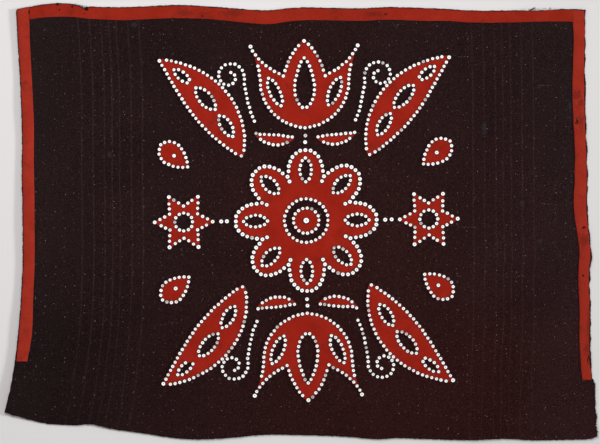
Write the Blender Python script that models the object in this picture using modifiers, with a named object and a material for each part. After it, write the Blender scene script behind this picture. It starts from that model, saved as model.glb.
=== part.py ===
"""A button blanket lying flat, face up.

Metres, +Z up. The origin is on the surface that the blanket lies on, under the middle of the blanket.
+X runs to its right side and +Y to its top border. The tables below are in millimetres.
"""

import math
from bisect import bisect_right

import bmesh
import bpy

MM = 0.001

# Thickness of the blanket cloth and of the red wool, and the gap that stands for cloth on cloth
CLOTH_THICK = 2.2 * MM
RED_THICK = 1.2 * MM
SEAT = 0.3 * MM

# The four raw edges of the cloth. Columns: x, y
TOP_EDGE = [
    (-842.2, 628.4), (-777.7, 642.3), (-718.6, 647.1), (-680.0, 645.5), (-630.0, 637.6),
    (-511.7, 636.1), (-363.9, 641.5), (-260.0, 636.5), (-127.4, 626.7), (-90.0, 626.3),
    (-38.7, 632.3), (20.4, 634.4), (168.2, 631.7), (256.9, 635.3), (404.7, 631.4),
    (493.4, 626.1), (582.0, 625.2), (670.7, 627.0), (788.9, 629.6), (839.2, 627.0),
]
BOTTOM_EDGE = [
    (-875.6, -563.4), (-842.8, -577.3), (-783.6, -594.5), (-724.5, -605.1), (-665.4, -606.6),
    (-606.3, -605.4), (-547.2, -616.6), (-458.5, -628.4), (-369.8, -640.9), (-281.1, -645.3),
    (-192.4, -640.3), (-103.8, -632.6), (0.0, -633.0), (73.6, -634.7), (162.3, -639.4),
    (221.4, -645.3), (280.5, -642.0), (398.8, -646.2), (517.0, -646.9), (605.7, -641.4),
    (694.3, -646.9), (842.2, -646.0), (875.6, -635.8),
]
# Columns: y, x
LEFT_EDGE = [
    (-563.4, -875.6), (-544.2, -872.6), (-473.3, -857.5), (-402.3, -846.3), (-331.4, -838.0),
    (-260.4, -830.9), (-189.5, -826.8), (-118.5, -823.5), (58.8, -824.4), (129.8, -826.5),
    (236.2, -825.3), (342.6, -828.3), (449.0, -833.6), (555.4, -840.4), (628.4, -842.2),
]
RIGHT_EDGE = [
    (-635.8, 875.6), (-585.6, 870.8), (-550.1, 869.6), (-479.2, 869.1), (-443.7, 861.4),
    (-372.8, 856.1), (-266.3, 857.2), (-159.9, 854.0), (-89.0, 857.8), (-18.0, 851.9),
    (52.9, 846.6), (123.9, 848.4), (230.3, 845.1), (301.2, 842.2), (478.6, 840.4),
    (549.5, 842.5), (627.0, 839.2),
]

# The border strips. The dark cloth shows past their outer edge, and they end above the bottom corners
# at this share of the cloth's height. Columns: share of the side from its lower or left end, width
DARK_RIM = 2.6
BORDER_END = 0.131
LEFT_WIDTH = [(0.12, 38.5), (0.3, 38.0), (0.6, 37.0), (0.8, 36.0), (1.0, 39.0)]
RIGHT_WIDTH = [(0.12, 29.5), (0.3, 31.0), (0.55, 34.0), (0.75, 36.0), (1.0, 36.0)]
TOP_WIDTH = [(0.0, 38.0), (0.15, 37.5), (0.4, 38.5), (0.7, 37.5), (1.0, 35.5)]

# Cells of the cloth's own net, across and up, between the border strips
CELLS_ACROSS = 32
CELLS_UP = 22
CELLS_BELOW_BORDERS = 3

# Soft ridges where the laid cloth stands off the surface; its middle is flat.
# Columns: x, y, turn in degrees, half length, half width, height
RIDGES = [
    (-860.0, 640.0, 40.0, 210.0, 150.0, 9.0),
    (-700.0, 690.0, 85.0, 120.0, 110.0, 4.0),
    (-370.0, 690.0, 88.0, 125.0, 150.0, 4.5),
    (20.0, 690.0, 90.0, 120.0, 190.0, 3.5),
    (330.0, 690.0, 92.0, 115.0, 120.0, 3.0),
    (700.0, 690.0, 95.0, 130.0, 140.0, 5.0),
    (880.0, 640.0, 140.0, 190.0, 130.0, 6.0),
    (-900.0, 330.0, 4.0, 300.0, 120.0, 5.0),
    (-920.0, 20.0, -6.0, 340.0, 150.0, 6.5),
    (-900.0, -300.0, 8.0, 290.0, 110.0, 4.5),
    (-890.0, -590.0, -32.0, 260.0, 160.0, 10.0),
    (900.0, 250.0, -5.0, 290.0, 130.0, 4.0),
    (910.0, -90.0, 6.0, 300.0, 140.0, 5.5),
    (900.0, -420.0, -8.0, 280.0, 110.0, 4.0),
    (890.0, -660.0, 38.0, 200.0, 150.0, 7.0),
    (-610.0, -680.0, 86.0, 125.0, 130.0, 5.0),
    (-280.0, -710.0, 92.0, 130.0, 150.0, 4.0),
    (215.0, -710.0, 90.0, 125.0, 130.0, 4.0),
    (560.0, -710.0, 88.0, 140.0, 160.0, 5.0),
]

# Middle of the sewn design, and its turn in degrees: it was laid out by eye
MIDDLE = (15.0, 4.0)
DESIGN_TURN = 0.7

# Round flower in the middle: petal tips, notches between the petals, and the hole around the disc
PETALS = 8
PETAL_TIP = 212.0
PETAL_NOTCH = 128.0
PETAL_FULLNESS = 0.62
FLOWER_HOLE = 62.0
DISC_RADIUS = 40.0
PETAL_SLOT = (150.0, 33.0, 15.0)

# Tulip, from its foot upward, right half. Columns: x, y, bulge of the arc to the next row
TULIP_FOOT = 272.0
TULIP = [
    (0.0, 0.0, 0.36),
    (132.0, 122.0, -0.10),
    (160.0, 250.0, -0.19),
    (62.0, 160.0, 0.16),
    (0.0, 265.0, 0.0),
]
# Holes in the tulip. Columns: x, y, turn in degrees, half length, half width, skew
TULIP_HOLES = [
    (0.0, 134.0, 90.0, 72.0, 26.0, -0.35),
    (88.0, 109.0, 66.0, 42.0, 13.0, 0.0),
    (-88.0, 109.0, 114.0, 42.0, 13.0, 0.0),
]

# Long corner leaves: root, tip, bulge of the midrib, half width
LEAF_ROOT = (186.0, 188.0)
LEAF_TIP = (432.0, 482.0)
LEAF_BEND = -0.16
LEAF_HALF_WIDTH = 62.0
# Holes along the midrib. Columns: share of its length, half length, half width
LEAF_HOLES = [(0.27, 34.0, 13.0), (0.53, 40.0, 16.0), (0.78, 27.0, 10.0)]

# Small leaves at the foot of each tulip
LEAFLET_ROOT = (32.0, 246.0)
LEAFLET_TIP = (152.0, 260.0)
LEAFLET_BEND = 0.22
LEAFLET_HALF_WIDTH = 17.0

# Six-pointed star at each side, and drops between the stars and the leaves
STAR_AT = 362.0
STAR_TIP = 92.0
STAR_NOTCH = 50.0
STAR_HOLE = 24.0
DROP_AT = (388.0, 196.0)
DROP_TURN = 40.0
DROP = (54.0, 34.0, 0.35)

# Points on each petal, on each arc of an edge, and round each small hole
PETAL_POINTS = 12
ARC_POINTS = 6
HOLE_POINTS = 10

# Pearl buttons: diameters, thickness, and how far in from a round edge and from a sharp tip they sit
LARGE_BUTTON = 19.0
POINT_BUTTON = 14.0
BUTTON_THICK = 2.2
EDGE_INSET = 4.0
TIP_INSET = 6.5
BUTTON_STEPS = 12
# Half section of a button, from the middle of its face to its back. Columns: share of radius, of height
BUTTON_SECTION = [(0.0, 0.62), (0.45, 0.62), (0.72, 1.0), (0.9, 0.95), (1.0, 0.6), (0.86, 0.0), (0.0, 0.0)]

DARK_WOOL = (0.020, 0.009, 0.009)
RED_WOOL = (0.315, 0.026, 0.014)
PEARL = (0.78, 0.76, 0.70)


def read_table(rows, station):
    """The value at a station, on a smooth curve through the table's rows."""
    last = len(rows) - 1

    def slope(k):
        low, high = max(k - 1, 0), min(k + 1, last)
        return (rows[high][1] - rows[low][1]) / (rows[high][0] - rows[low][0])

    k = min(max(bisect_right([row[0] for row in rows], station) - 1, 0), last - 1)
    span = rows[k + 1][0] - rows[k][0]
    t = min(max((station - rows[k][0]) / span, 0.0), 1.0)
    ease = t * t * (3.0 - 2.0 * t)
    lean = slope(k) * t * (1.0 - t) ** 2 - slope(k + 1) * t * t * (1.0 - t)
    return rows[k][1] * (1.0 - ease) + rows[k + 1][1] * ease + span * lean


def mix(low, high, share):
    return low + (high - low) * share


def cloth_point(across, up):
    """The place in x and y of the cloth's point at these shares of its width and height."""
    bottom_x = mix(BOTTOM_EDGE[0][0], BOTTOM_EDGE[-1][0], across)
    top_x = mix(TOP_EDGE[0][0], TOP_EDGE[-1][0], across)
    left_y = mix(LEFT_EDGE[0][0], LEFT_EDGE[-1][0], up)
    right_y = mix(RIGHT_EDGE[0][0], RIGHT_EDGE[-1][0], up)
    bottom_y = read_table(BOTTOM_EDGE, bottom_x)
    top_y = read_table(TOP_EDGE, top_x)
    left_x = read_table(LEFT_EDGE, left_y)
    right_x = read_table(RIGHT_EDGE, right_y)
    corners_x = mix(mix(BOTTOM_EDGE[0][0], BOTTOM_EDGE[-1][0], across), top_x, up)
    corners_y = mix(left_y, right_y, across)
    x = mix(bottom_x, top_x, up) + mix(left_x, right_x, across) - corners_x
    y = mix(bottom_y, top_y, up) + mix(left_y, right_y, across) - corners_y
    return x, y


def lift(x, y):
    """How far the cloth's underside stands off the surface."""
    height = 0.0
    for at_x, at_y, turn, half_length, half_width, rise in RIDGES:
        angle = math.radians(turn)
        along = (x - at_x) * math.cos(angle) + (y - at_y) * math.sin(angle)
        aside = (y - at_y) * math.cos(angle) - (x - at_x) * math.sin(angle)
        if abs(along) < half_length and abs(aside) < half_width:
            crest = math.cos(math.pi / 2 * along / half_length) ** 2
            height += rise * crest * math.cos(math.pi / 2 * aside / half_width) ** 2
    return height


def make_finish(name, colour, roughness):
    material = bpy.data.materials.new(name)
    material.use_nodes = True
    material.diffuse_color = (*colour, 1.0)
    shader = material.node_tree.nodes["Principled BSDF"]
    shader.inputs["Base Color"].default_value = (*colour, 1.0)
    shader.inputs["Roughness"].default_value = roughness
    shader.inputs["Metallic"].default_value = 0.0
    return material


def add_object(name, data, material):
    piece = bpy.data.objects.new(name, data)
    data.materials.append(material)
    blanket.objects.link(piece)
    return piece


class ClothNet:
    """The cloth's net of crossing lines, with lines along both sides of every border strip."""

    def __init__(self):
        self.columns = CELLS_ACROSS + 4
        self.rows = CELLS_BELOW_BORDERS + CELLS_UP + 2
        self.width = BOTTOM_EDGE[-1][0] - BOTTOM_EDGE[0][0]
        self.height = TOP_EDGE[0][1] - BOTTOM_EDGE[-1][1]

    def share_across(self, column, up):
        left = (DARK_RIM + read_table(LEFT_WIDTH, up)) / self.width
        right = 1.0 - (DARK_RIM + read_table(RIGHT_WIDTH, up)) / self.width
        if column == 0 or column == self.columns:
            return column / self.columns
        if column == 1:
            return DARK_RIM / self.width
        if column == self.columns - 1:
            return 1.0 - DARK_RIM / self.width
        return mix(left, right, (column - 2) / CELLS_ACROSS)

    def share_up(self, row, across):
        top = 1.0 - (DARK_RIM + read_table(TOP_WIDTH, across)) / self.height
        if row <= CELLS_BELOW_BORDERS:
            return BORDER_END * row / CELLS_BELOW_BORDERS
        if row == self.rows:
            return 1.0
        if row == self.rows - 1:
            return 1.0 - DARK_RIM / self.height
        return mix(BORDER_END, top, (row - CELLS_BELOW_BORDERS) / CELLS_UP)

    def point(self, column, row):
        up = self.share_up(row, column / self.columns)
        across = self.share_across(column, up)
        x, y = cloth_point(across, up)
        return x * MM, y * MM, lift(x, y) * MM

    def sheet(self, name, columns, rows, raised, thickness, material, seam=0.0):
        """One sheet over some of the net's cells, raised off the surface, with its ends drawn in."""
        first_column, last_column = columns
        first_row, last_row = rows
        cells_across = last_column - first_column
        cells_up = last_row - first_row
        net = bmesh.new()
        bmesh.ops.create_grid(net, x_segments=cells_across, y_segments=cells_up, size=1.0)
        for vert in net.verts:
            column = round((vert.co.x + 1.0) / 2 * cells_across)
            row = round((vert.co.y + 1.0) / 2 * cells_up)
            x, y, z = self.point(first_column + column, first_row + row)
            if column == 0:
                x += seam
            if column == cells_across:
                x -= seam
            vert.co = (x, y, z + raised)
        bmesh.ops.triangulate(net, faces=net.faces[:], quad_method="FIXED")
        mesh = bpy.data.meshes.new(name)
        net.to_mesh(mesh)
        net.free()
        piece = add_object(name, mesh, material)
        shell = piece.modifiers.new("Thickness", "SOLIDIFY")
        shell.thickness = thickness
        shell.offset = 1.0
        return piece


def arc(start, end, bulge, steps):
    """Points from start up to but not at end, on an arc; a positive bulge turns it left, past the right."""
    span_x, span_y = end[0] - start[0], end[1] - start[1]
    points = []
    for k in range(steps):
        t = k / steps
        if abs(bulge) < 1e-6:
            points.append((start[0] + span_x * t, start[1] + span_y * t))
            continue
        sweep = 4.0 * math.atan(bulge)
        radius = 0.5 / math.sin(sweep / 2)
        angle = sweep * (t - 0.5)
        along = 0.5 + radius * math.sin(angle)
        aside = radius * (math.cos(angle) - math.cos(sweep / 2))
        points.append((start[0] + span_x * along + span_y * aside,
                       start[1] + span_y * along - span_x * aside))
    return points


def mirrored_outline(half):
    """A closed outline from the rows of its right half, foot first, going round to the left."""
    points = []
    for (x, y, bulge), (next_x, next_y, _) in zip(half, half[1:]):
        points += arc((x, y), (next_x, next_y), bulge, ARC_POINTS)
    back = [(-x, y) for x, y in reversed(points[1:])]
    return points + [half[-1][:2]] + back


def drop_outline(x, y, turn, half_length, half_width, skew=0.0, count=HOLE_POINTS):
    """A lens with two sharp ends, or with skew a drop whose fuller end is behind or ahead."""
    angle = math.radians(turn)
    points = []
    for k in range(count):
        t = 2.0 * math.pi * k / count
        along = half_length * math.cos(t)
        aside = half_width * math.sin(t) * abs(math.sin(t)) ** 0.4 * (1.0 + skew * math.cos(t))
        points.append((x + along * math.cos(angle) - aside * math.sin(angle),
                       y + along * math.sin(angle) + aside * math.cos(angle)))
    return points


def ring_outline(x, y, radius, count):
    return [(x + radius * math.cos(2 * math.pi * k / count), y + radius * math.sin(2 * math.pi * k / count))
            for k in range(count)]


def leaf_outline(root, tip, bend, half_width, steps):
    """A leaf's outline, out along one side of its midrib and back along the other."""
    rib = arc(root, tip, bend, steps) + [tip]
    sides = {1: [], -1: []}
    for k in range(1, steps):
        along_x, along_y = rib[k + 1][0] - rib[k - 1][0], rib[k + 1][1] - rib[k - 1][1]
        length = math.hypot(along_x, along_y)
        half = half_width * math.sin(math.pi * (k / steps) ** 0.9) ** 0.85
        for side in sides:
            sides[side].append((rib[k][0] + side * half * along_y / length,
                                rib[k][1] - side * half * along_x / length))
    return [root] + sides[1] + [tip] + sides[-1][::-1]


def leaf_holes(root, tip, bend, rows):
    """Lenses set along a leaf's midrib."""
    holes = []
    fine = 100
    rib = arc(root, tip, bend, fine) + [tip]
    for share, half_length, half_width in rows:
        k = round(share * fine)
        turn = math.degrees(math.atan2(rib[k + 1][1] - rib[k - 1][1], rib[k + 1][0] - rib[k - 1][0]))
        holes.append(drop_outline(*rib[k], turn, half_length, half_width))
    return holes


def petal_radius(angle):
    wave = abs(math.cos(PETALS / 2 * angle)) ** PETAL_FULLNESS
    return PETAL_NOTCH + (PETAL_TIP - PETAL_NOTCH) * wave


def placed(points, flip_x=1, flip_y=1):
    """Points of the design in the blanket's frame, in metres, going round the same way when mirrored."""
    along, aside = math.cos(math.radians(DESIGN_TURN)), math.sin(math.radians(DESIGN_TURN))
    line = [((MIDDLE[0] + flip_x * x * along - flip_y * y * aside) * MM,
             (MIDDLE[1] + flip_x * x * aside + flip_y * y * along) * MM) for x, y in points]
    return line if flip_x * flip_y > 0 else line[::-1]


def red_piece(name, outlines):
    """A flat piece of red wool: the first outline is its edge, and the others are holes in it."""
    curve = bpy.data.curves.new(name, "CURVE")
    curve.dimensions = "2D"
    curve.fill_mode = "BOTH"
    curve.extrude = RED_THICK / 2
    for outline in outlines:
        spline = curve.splines.new("POLY")
        spline.points.add(len(outline) - 1)
        for point, (x, y) in zip(spline.points, outline):
            point.co = (x, y, 0.0, 1.0)
        spline.use_cyclic_u = True
    piece = add_object(name, curve, red_wool)
    piece.location.z = CLOTH_THICK + SEAT + RED_THICK / 2
    return piece


def button_mesh(name, diameter):
    """The half section of a button; a Screw modifier turns it."""
    turned = bmesh.new()
    section = [turned.verts.new((share * diameter / 2 * MM, 0.0, height * BUTTON_THICK * MM))
               for share, height in BUTTON_SECTION]
    for upper, lower in zip(section, section[1:]):
        turned.edges.new((upper, lower))
    mesh = bpy.data.meshes.new(name)
    turned.to_mesh(mesh)
    turned.free()
    mesh.materials.append(pearl)
    return mesh


def sew_button(name, mesh, x, y, flip_x=1, flip_y=1):
    button = bpy.data.objects.new(name, mesh)
    blanket.objects.link(button)
    on_red = CLOTH_THICK + SEAT + RED_THICK + SEAT
    button.location = (*placed([(x, y)], flip_x, flip_y)[0], on_red)
    turn = button.modifiers.new("Turn", "SCREW")
    turn.angle = math.tau
    turn.steps = BUTTON_STEPS
    turn.render_steps = BUTTON_STEPS
    turn.use_merge_vertices = True
    turn.merge_threshold = 0.00005
    turn.use_smooth_shade = False


def drawn_in(point, towards, distance):
    """A place this far in from a point, towards another."""
    span = math.dist(point, towards)
    return mix(point[0], towards[0], distance / span), mix(point[1], towards[1], distance / span)


def add_cloth_and_borders():
    net = ClothNet()
    on_cloth = CLOTH_THICK + SEAT
    net.sheet("ground_cloth", (0, net.columns), (0, net.rows), 0.0, CLOTH_THICK, dark_wool)
    sides = (CELLS_BELOW_BORDERS, net.rows - 1)
    net.sheet("border_left", (1, 2), sides, on_cloth, RED_THICK, red_wool)
    net.sheet("border_right", (net.columns - 2, net.columns - 1), sides, on_cloth, RED_THICK, red_wool)
    top = (net.rows - 2, net.rows - 1)
    net.sheet("border_top", (2, net.columns - 2), top, on_cloth, RED_THICK, red_wool, seam=SEAT)


def add_flower():
    count = PETALS * PETAL_POINTS
    angles = [2.0 * math.pi * k / count for k in range(count)]
    edge = [(petal_radius(a) * math.cos(a), petal_radius(a) * math.sin(a)) for a in angles]
    outlines = [edge, ring_outline(0.0, 0.0, FLOWER_HOLE, 24)]
    out, half_length, half_width = PETAL_SLOT
    for k in range(PETALS):
        angle = 2.0 * math.pi * k / PETALS
        outlines.append(drop_outline(out * math.cos(angle), out * math.sin(angle), math.degrees(angle),
                                     half_length, half_width))
    red_piece("flower", [placed(outline) for outline in outlines])
    red_piece("flower_disc", [placed(ring_outline(0.0, 0.0, DISC_RADIUS, 24))])
    sew_button("button_disc", large_button, 0.0, 0.0)
    for k in range(PETALS):
        angle = 2.0 * math.pi * k / PETALS
        reach = PETAL_TIP - EDGE_INSET
        sew_button(f"button_petal_{k + 1}", point_button, reach * math.cos(angle), reach * math.sin(angle))


def add_tulips():
    edge = mirrored_outline(TULIP)
    holes = [drop_outline(*row, 14) for row in TULIP_HOLES]
    outlines = [[(x, y + TULIP_FOOT) for x, y in outline] for outline in [edge] + holes]
    tips = {"mid": TULIP[4][:2], "right": TULIP[2][:2], "left": (-TULIP[2][0], TULIP[2][1])}
    for end, flip_y in (("top", 1), ("bottom", -1)):
        red_piece(f"tulip_{end}", [placed(outline, 1, flip_y) for outline in outlines])
        for side, tip in tips.items():
            x, y = drawn_in(tip, (tip[0] * 0.6, 0.0), TIP_INSET)
            sew_button(f"button_tulip_{end}_{side}", point_button, x, y + TULIP_FOOT, 1, flip_y)


def add_leaves_and_drops():
    leaf = [leaf_outline(LEAF_ROOT, LEAF_TIP, LEAF_BEND, LEAF_HALF_WIDTH, 16)]
    leaf += leaf_holes(LEAF_ROOT, LEAF_TIP, LEAF_BEND, LEAF_HOLES)
    leaflet = [leaf_outline(LEAFLET_ROOT, LEAFLET_TIP, LEAFLET_BEND, LEAFLET_HALF_WIDTH, 8)]
    drop = [drop_outline(*DROP_AT, DROP_TURN, *DROP, count=20)]
    tip_button = drawn_in(LEAF_TIP, LEAF_ROOT, TIP_INSET)
    for end, flip_y in (("top", 1), ("bottom", -1)):
        for side, flip_x in (("right", 1), ("left", -1)):
            red_piece(f"leaf_{end}_{side}", [placed(line, flip_x, flip_y) for line in leaf])
            red_piece(f"leaflet_{end}_{side}", [placed(line, flip_x, flip_y) for line in leaflet])
            red_piece(f"drop_{end}_{side}", [placed(line, flip_x, flip_y) for line in drop])
            sew_button(f"button_leaf_{end}_{side}", point_button, *tip_button, flip_x, flip_y)
            sew_button(f"button_drop_{end}_{side}", point_button, *DROP_AT, flip_x, flip_y)


def add_stars():
    points = 6
    angles = [math.pi * k / points for k in range(2 * points)]
    edge = [(STAR_AT + (STAR_NOTCH if k % 2 else STAR_TIP) * math.cos(angle),
             (STAR_NOTCH if k % 2 else STAR_TIP) * math.sin(angle)) for k, angle in enumerate(angles)]
    star = [edge, ring_outline(STAR_AT, 0.0, STAR_HOLE, 16)]
    for side, flip_x in (("right", 1), ("left", -1)):
        red_piece(f"star_{side}", [placed(line, flip_x) for line in star])
        for k in range(points):
            x, y = drawn_in(edge[2 * k], (STAR_AT, 0.0), TIP_INSET)
            sew_button(f"button_star_{side}_{k + 1}", point_button, x, y, flip_x)


for old in list(bpy.data.objects):
    bpy.data.objects.remove(old, do_unlink=True)

blanket = bpy.data.collections.new("button_blanket")
bpy.context.scene.collection.children.link(blanket)

dark_wool = make_finish("dark_wool", DARK_WOOL, 0.95)
red_wool = make_finish("red_wool", RED_WOOL, 0.9)
pearl = make_finish("pearl", PEARL, 0.3)

large_button = button_mesh("large_button", LARGE_BUTTON)
point_button = button_mesh("point_button", POINT_BUTTON)

add_cloth_and_borders()
add_flower()
add_tulips()
add_leaves_and_drops()
add_stars()
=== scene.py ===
import math
import random
from bisect import bisect_right

import bmesh
import bpy
from mathutils import Matrix, Vector, noise
from mathutils.kdtree import KDTree


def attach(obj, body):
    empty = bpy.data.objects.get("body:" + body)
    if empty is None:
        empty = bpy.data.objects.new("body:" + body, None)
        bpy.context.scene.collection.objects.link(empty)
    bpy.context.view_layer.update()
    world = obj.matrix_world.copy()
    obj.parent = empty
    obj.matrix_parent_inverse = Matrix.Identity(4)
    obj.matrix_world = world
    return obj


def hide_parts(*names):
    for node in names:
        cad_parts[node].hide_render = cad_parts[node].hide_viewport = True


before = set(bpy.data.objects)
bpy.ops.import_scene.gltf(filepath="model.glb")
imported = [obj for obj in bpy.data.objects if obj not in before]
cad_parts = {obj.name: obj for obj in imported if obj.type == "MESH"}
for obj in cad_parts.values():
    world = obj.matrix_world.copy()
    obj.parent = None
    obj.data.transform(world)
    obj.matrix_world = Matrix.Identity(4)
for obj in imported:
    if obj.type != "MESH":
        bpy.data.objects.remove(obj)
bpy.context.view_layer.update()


# Ground cloth
# One length of dark wool blanket cloth, woven with seven faint stripes near each side and raw on all
# four edges. It was cut and pulled by hand, so its edges wander, and it lies flat in the middle with
# soft ridges towards its edges. The tables are in millimetres.
MM = 0.001
CLOTH_THICK = 2.2
CLOTH_CELLS = (228, 168)
EDGE_ROLL = 0.25
BROAD_WAVE = (150.0, 0.35)
SMALL_WAVE = (42.0, 0.14)
# Columns: x, y
TOP_EDGE = [
    (-842.2, 629.6), (-814.7, 634.8), (-796.0, 637.5), (-777.7, 641.5), (-718.6, 647.1), (-680.0, 645.5), (-630.0, 637.6),
    (-511.7, 636.1), (-363.9, 641.5), (-260.0, 636.5), (-127.4, 626.7), (-90.0, 626.3),
    (-38.7, 632.3), (20.4, 634.4), (168.2, 631.7), (256.9, 635.3), (404.7, 631.4),
    (493.4, 626.1), (582.0, 625.2), (670.7, 627.0), (788.9, 629.6), (839.2, 627.0),
]
BOTTOM_EDGE = [
    (-875.6, -563.4), (-842.8, -577.3), (-783.6, -594.5), (-724.5, -605.1), (-665.4, -606.6),
    (-606.3, -605.4), (-547.2, -616.6), (-458.5, -628.4), (-369.8, -640.9), (-281.1, -645.3),
    (-192.4, -640.3), (-103.8, -632.6), (0.0, -633.0), (73.6, -634.7), (162.3, -639.4),
    (221.4, -645.3), (280.5, -642.0), (398.8, -646.2), (517.0, -646.9), (605.7, -641.4),
    (694.3, -646.9), (842.2, -646.0), (875.6, -635.8),
]
# Columns: y, x
LEFT_EDGE = [
    (-563.4, -875.6), (-544.2, -870.6), (-473.3, -855.0), (-402.3, -844.0), (-331.4, -836.0),
    (-260.4, -829.7), (-189.5, -825.9), (-118.5, -822.6), (58.8, -823.5), (129.8, -825.6),
    (236.2, -824.5), (342.6, -827.3), (449.0, -832.4), (555.4, -838.9), (628.4, -842.2),
]
RIGHT_EDGE = [
    (-635.8, 875.6), (-585.6, 870.8), (-550.1, 869.6), (-482.0, 868.2), (-465.6, 862.6), (-443.7, 860.0),
    (-372.8, 856.1), (-266.3, 857.2), (-159.9, 854.0), (-89.0, 857.8), (-18.0, 851.9),
    (52.9, 846.6), (123.9, 848.4), (230.3, 845.1), (301.2, 842.2), (478.6, 840.4),
    (549.5, 842.5), (627.0, 839.2),
]
# Columns: x, y, turn in degrees, half length, half width, height
RIDGES = [
    (-860.0, 640.0, 40.0, 210.0, 150.0, 1.0),
    (-700.0, 690.0, 85.0, 120.0, 110.0, 4.0),
    (-370.0, 690.0, 88.0, 125.0, 150.0, 4.5),
    (20.0, 690.0, 90.0, 120.0, 190.0, 3.5),
    (330.0, 690.0, 92.0, 115.0, 120.0, 3.0),
    (700.0, 690.0, 95.0, 130.0, 140.0, 5.0),
    (880.0, 640.0, 140.0, 190.0, 130.0, 6.0),
    (-900.0, 330.0, 4.0, 300.0, 120.0, 1.6),
    (-920.0, 20.0, -6.0, 340.0, 150.0, 1.8),
    (-900.0, -300.0, 8.0, 290.0, 110.0, 1.6),
    (-890.0, -590.0, -32.0, 260.0, 160.0, 3.0),
    (-842.0, 600.0, 90.0, 280.0, 110.0, 2.8),
    (-830.0, 320.0, 90.0, 280.0, 110.0, 2.7),
    (-826.0, 40.0, 90.0, 280.0, 110.0, 3.2),
    (-829.0, -240.0, 90.0, 280.0, 110.0, 3.8),
    (-862.0, -520.0, 90.0, 280.0, 110.0, 7.5),
    (900.0, 250.0, -5.0, 290.0, 130.0, 4.0),
    (910.0, -90.0, 6.0, 300.0, 140.0, 5.5),
    (900.0, -420.0, -8.0, 280.0, 110.0, 4.0),
    (890.0, -660.0, 38.0, 200.0, 150.0, 7.0),
    (-610.0, -680.0, 86.0, 125.0, 130.0, 5.0),
    (-280.0, -710.0, 92.0, 130.0, 150.0, 4.0),
    (215.0, -710.0, 90.0, 125.0, 130.0, 4.0),
    (560.0, -710.0, 88.0, 140.0, 160.0, 5.0),
    (-620.0, -604.0, 0.0, 210.0, 70.0, 4.8),
    (-410.0, -632.0, 0.0, 210.0, 70.0, 4.4),
    (-200.0, -640.0, 0.0, 210.0, 70.0, 4.4),
    (10.0, -634.0, 0.0, 210.0, 70.0, 4.6),
    (220.0, -644.0, 0.0, 210.0, 70.0, 4.4),
    (430.0, -646.0, 0.0, 210.0, 70.0, 4.2),
    (640.0, -644.0, 0.0, 210.0, 70.0, 4.4),
]
CLOTH_WIDTH = BOTTOM_EDGE[-1][0] - BOTTOM_EDGE[0][0]
CLOTH_HEIGHT = TOP_EDGE[0][1] - BOTTOM_EDGE[-1][1]


def mix(low, high, share):
    return low + (high - low) * share


def read_table(rows, station):
    """The value at a station, on a smooth curve through the table's rows."""
    last = len(rows) - 1

    def slope(k):
        low, high = max(k - 1, 0), min(k + 1, last)
        return (rows[high][1] - rows[low][1]) / (rows[high][0] - rows[low][0])

    k = min(max(bisect_right(rows, (station, math.inf)) - 1, 0), last - 1)
    span = rows[k + 1][0] - rows[k][0]
    t = min(max((station - rows[k][0]) / span, 0.0), 1.0)
    ease = t * t * (3.0 - 2.0 * t)
    lean = slope(k) * t * (1.0 - t) ** 2 - slope(k + 1) * t * t * (1.0 - t)
    return mix(rows[k][1], rows[k + 1][1], ease) + span * lean


def cloth_point(across, up):
    """The place in x and y of the cloth's point at these shares of its width and height."""
    bottom_x = mix(BOTTOM_EDGE[0][0], BOTTOM_EDGE[-1][0], across)
    top_x = mix(TOP_EDGE[0][0], TOP_EDGE[-1][0], across)
    left_y = mix(LEFT_EDGE[0][0], LEFT_EDGE[-1][0], up)
    right_y = mix(RIGHT_EDGE[0][0], RIGHT_EDGE[-1][0], up)
    left_x, right_x = read_table(LEFT_EDGE, left_y), read_table(RIGHT_EDGE, right_y)
    bottom_y, top_y = read_table(BOTTOM_EDGE, bottom_x), read_table(TOP_EDGE, top_x)
    return mix(left_x, right_x, across), mix(bottom_y, top_y, up) + mix(left_y, right_y, across) - mix(
        mix(LEFT_EDGE[0][0], RIGHT_EDGE[0][0], across), mix(LEFT_EDGE[-1][0], RIGHT_EDGE[-1][0], across), up)


def lift(x, y):
    """How far the ridges hold the cloth off the surface."""
    height = 0.0
    for at_x, at_y, turn, half_length, half_width, rise in RIDGES:
        if math.dist((x, y), (at_x, at_y)) > math.hypot(half_length, half_width):
            continue
        angle = math.radians(turn)
        along = (x - at_x) * math.cos(angle) + (y - at_y) * math.sin(angle)
        aside = (y - at_y) * math.cos(angle) - (x - at_x) * math.sin(angle)
        if abs(along) < half_length and abs(aside) < half_width:
            crest = math.cos(math.pi / 2 * along / half_length) ** 2
            height += rise * crest * math.cos(math.pi / 2 * aside / half_width) ** 2
    return height


def cloth_top(x, y):
    """Height of the cloth's face, with the slight waves of worn cloth."""
    waves = 0.0
    for length, rise in (BROAD_WAVE, SMALL_WAVE):
        waves += rise * (1.0 + noise.noise(Vector((x / length, y / length, length))))
    return lift(x, y) + CLOTH_THICK + waves


def laid_sheet(name, cells, place, thickness, roll, edge_cuts):
    """A closed sheet of cloth. place turns two shares of its cut into x, y and the height of its face,
    its raw edge bulges by roll, and edge_cuts more points let the edge wander between two cells."""
    net = bmesh.new()
    bmesh.ops.create_grid(net, x_segments=cells[0], y_segments=cells[1], size=0.5)
    rim = [edge for edge in net.edges if edge.is_boundary]
    bmesh.ops.subdivide_edges(net, edges=rim, cuts=edge_cuts)
    shares = net.loops.layers.uv.new("Shares")
    for face in net.faces:
        for loop in face.loops:
            loop[shares].uv = (loop.vert.co.x + 0.5, loop.vert.co.y + 0.5)
    for vert in net.verts:
        x, y, z = place(vert.co.x + 0.5, vert.co.y + 0.5)
        vert.co = Vector((x, y, z - thickness)) * MM
    return close_sheet(name, net, thickness, roll)


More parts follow.
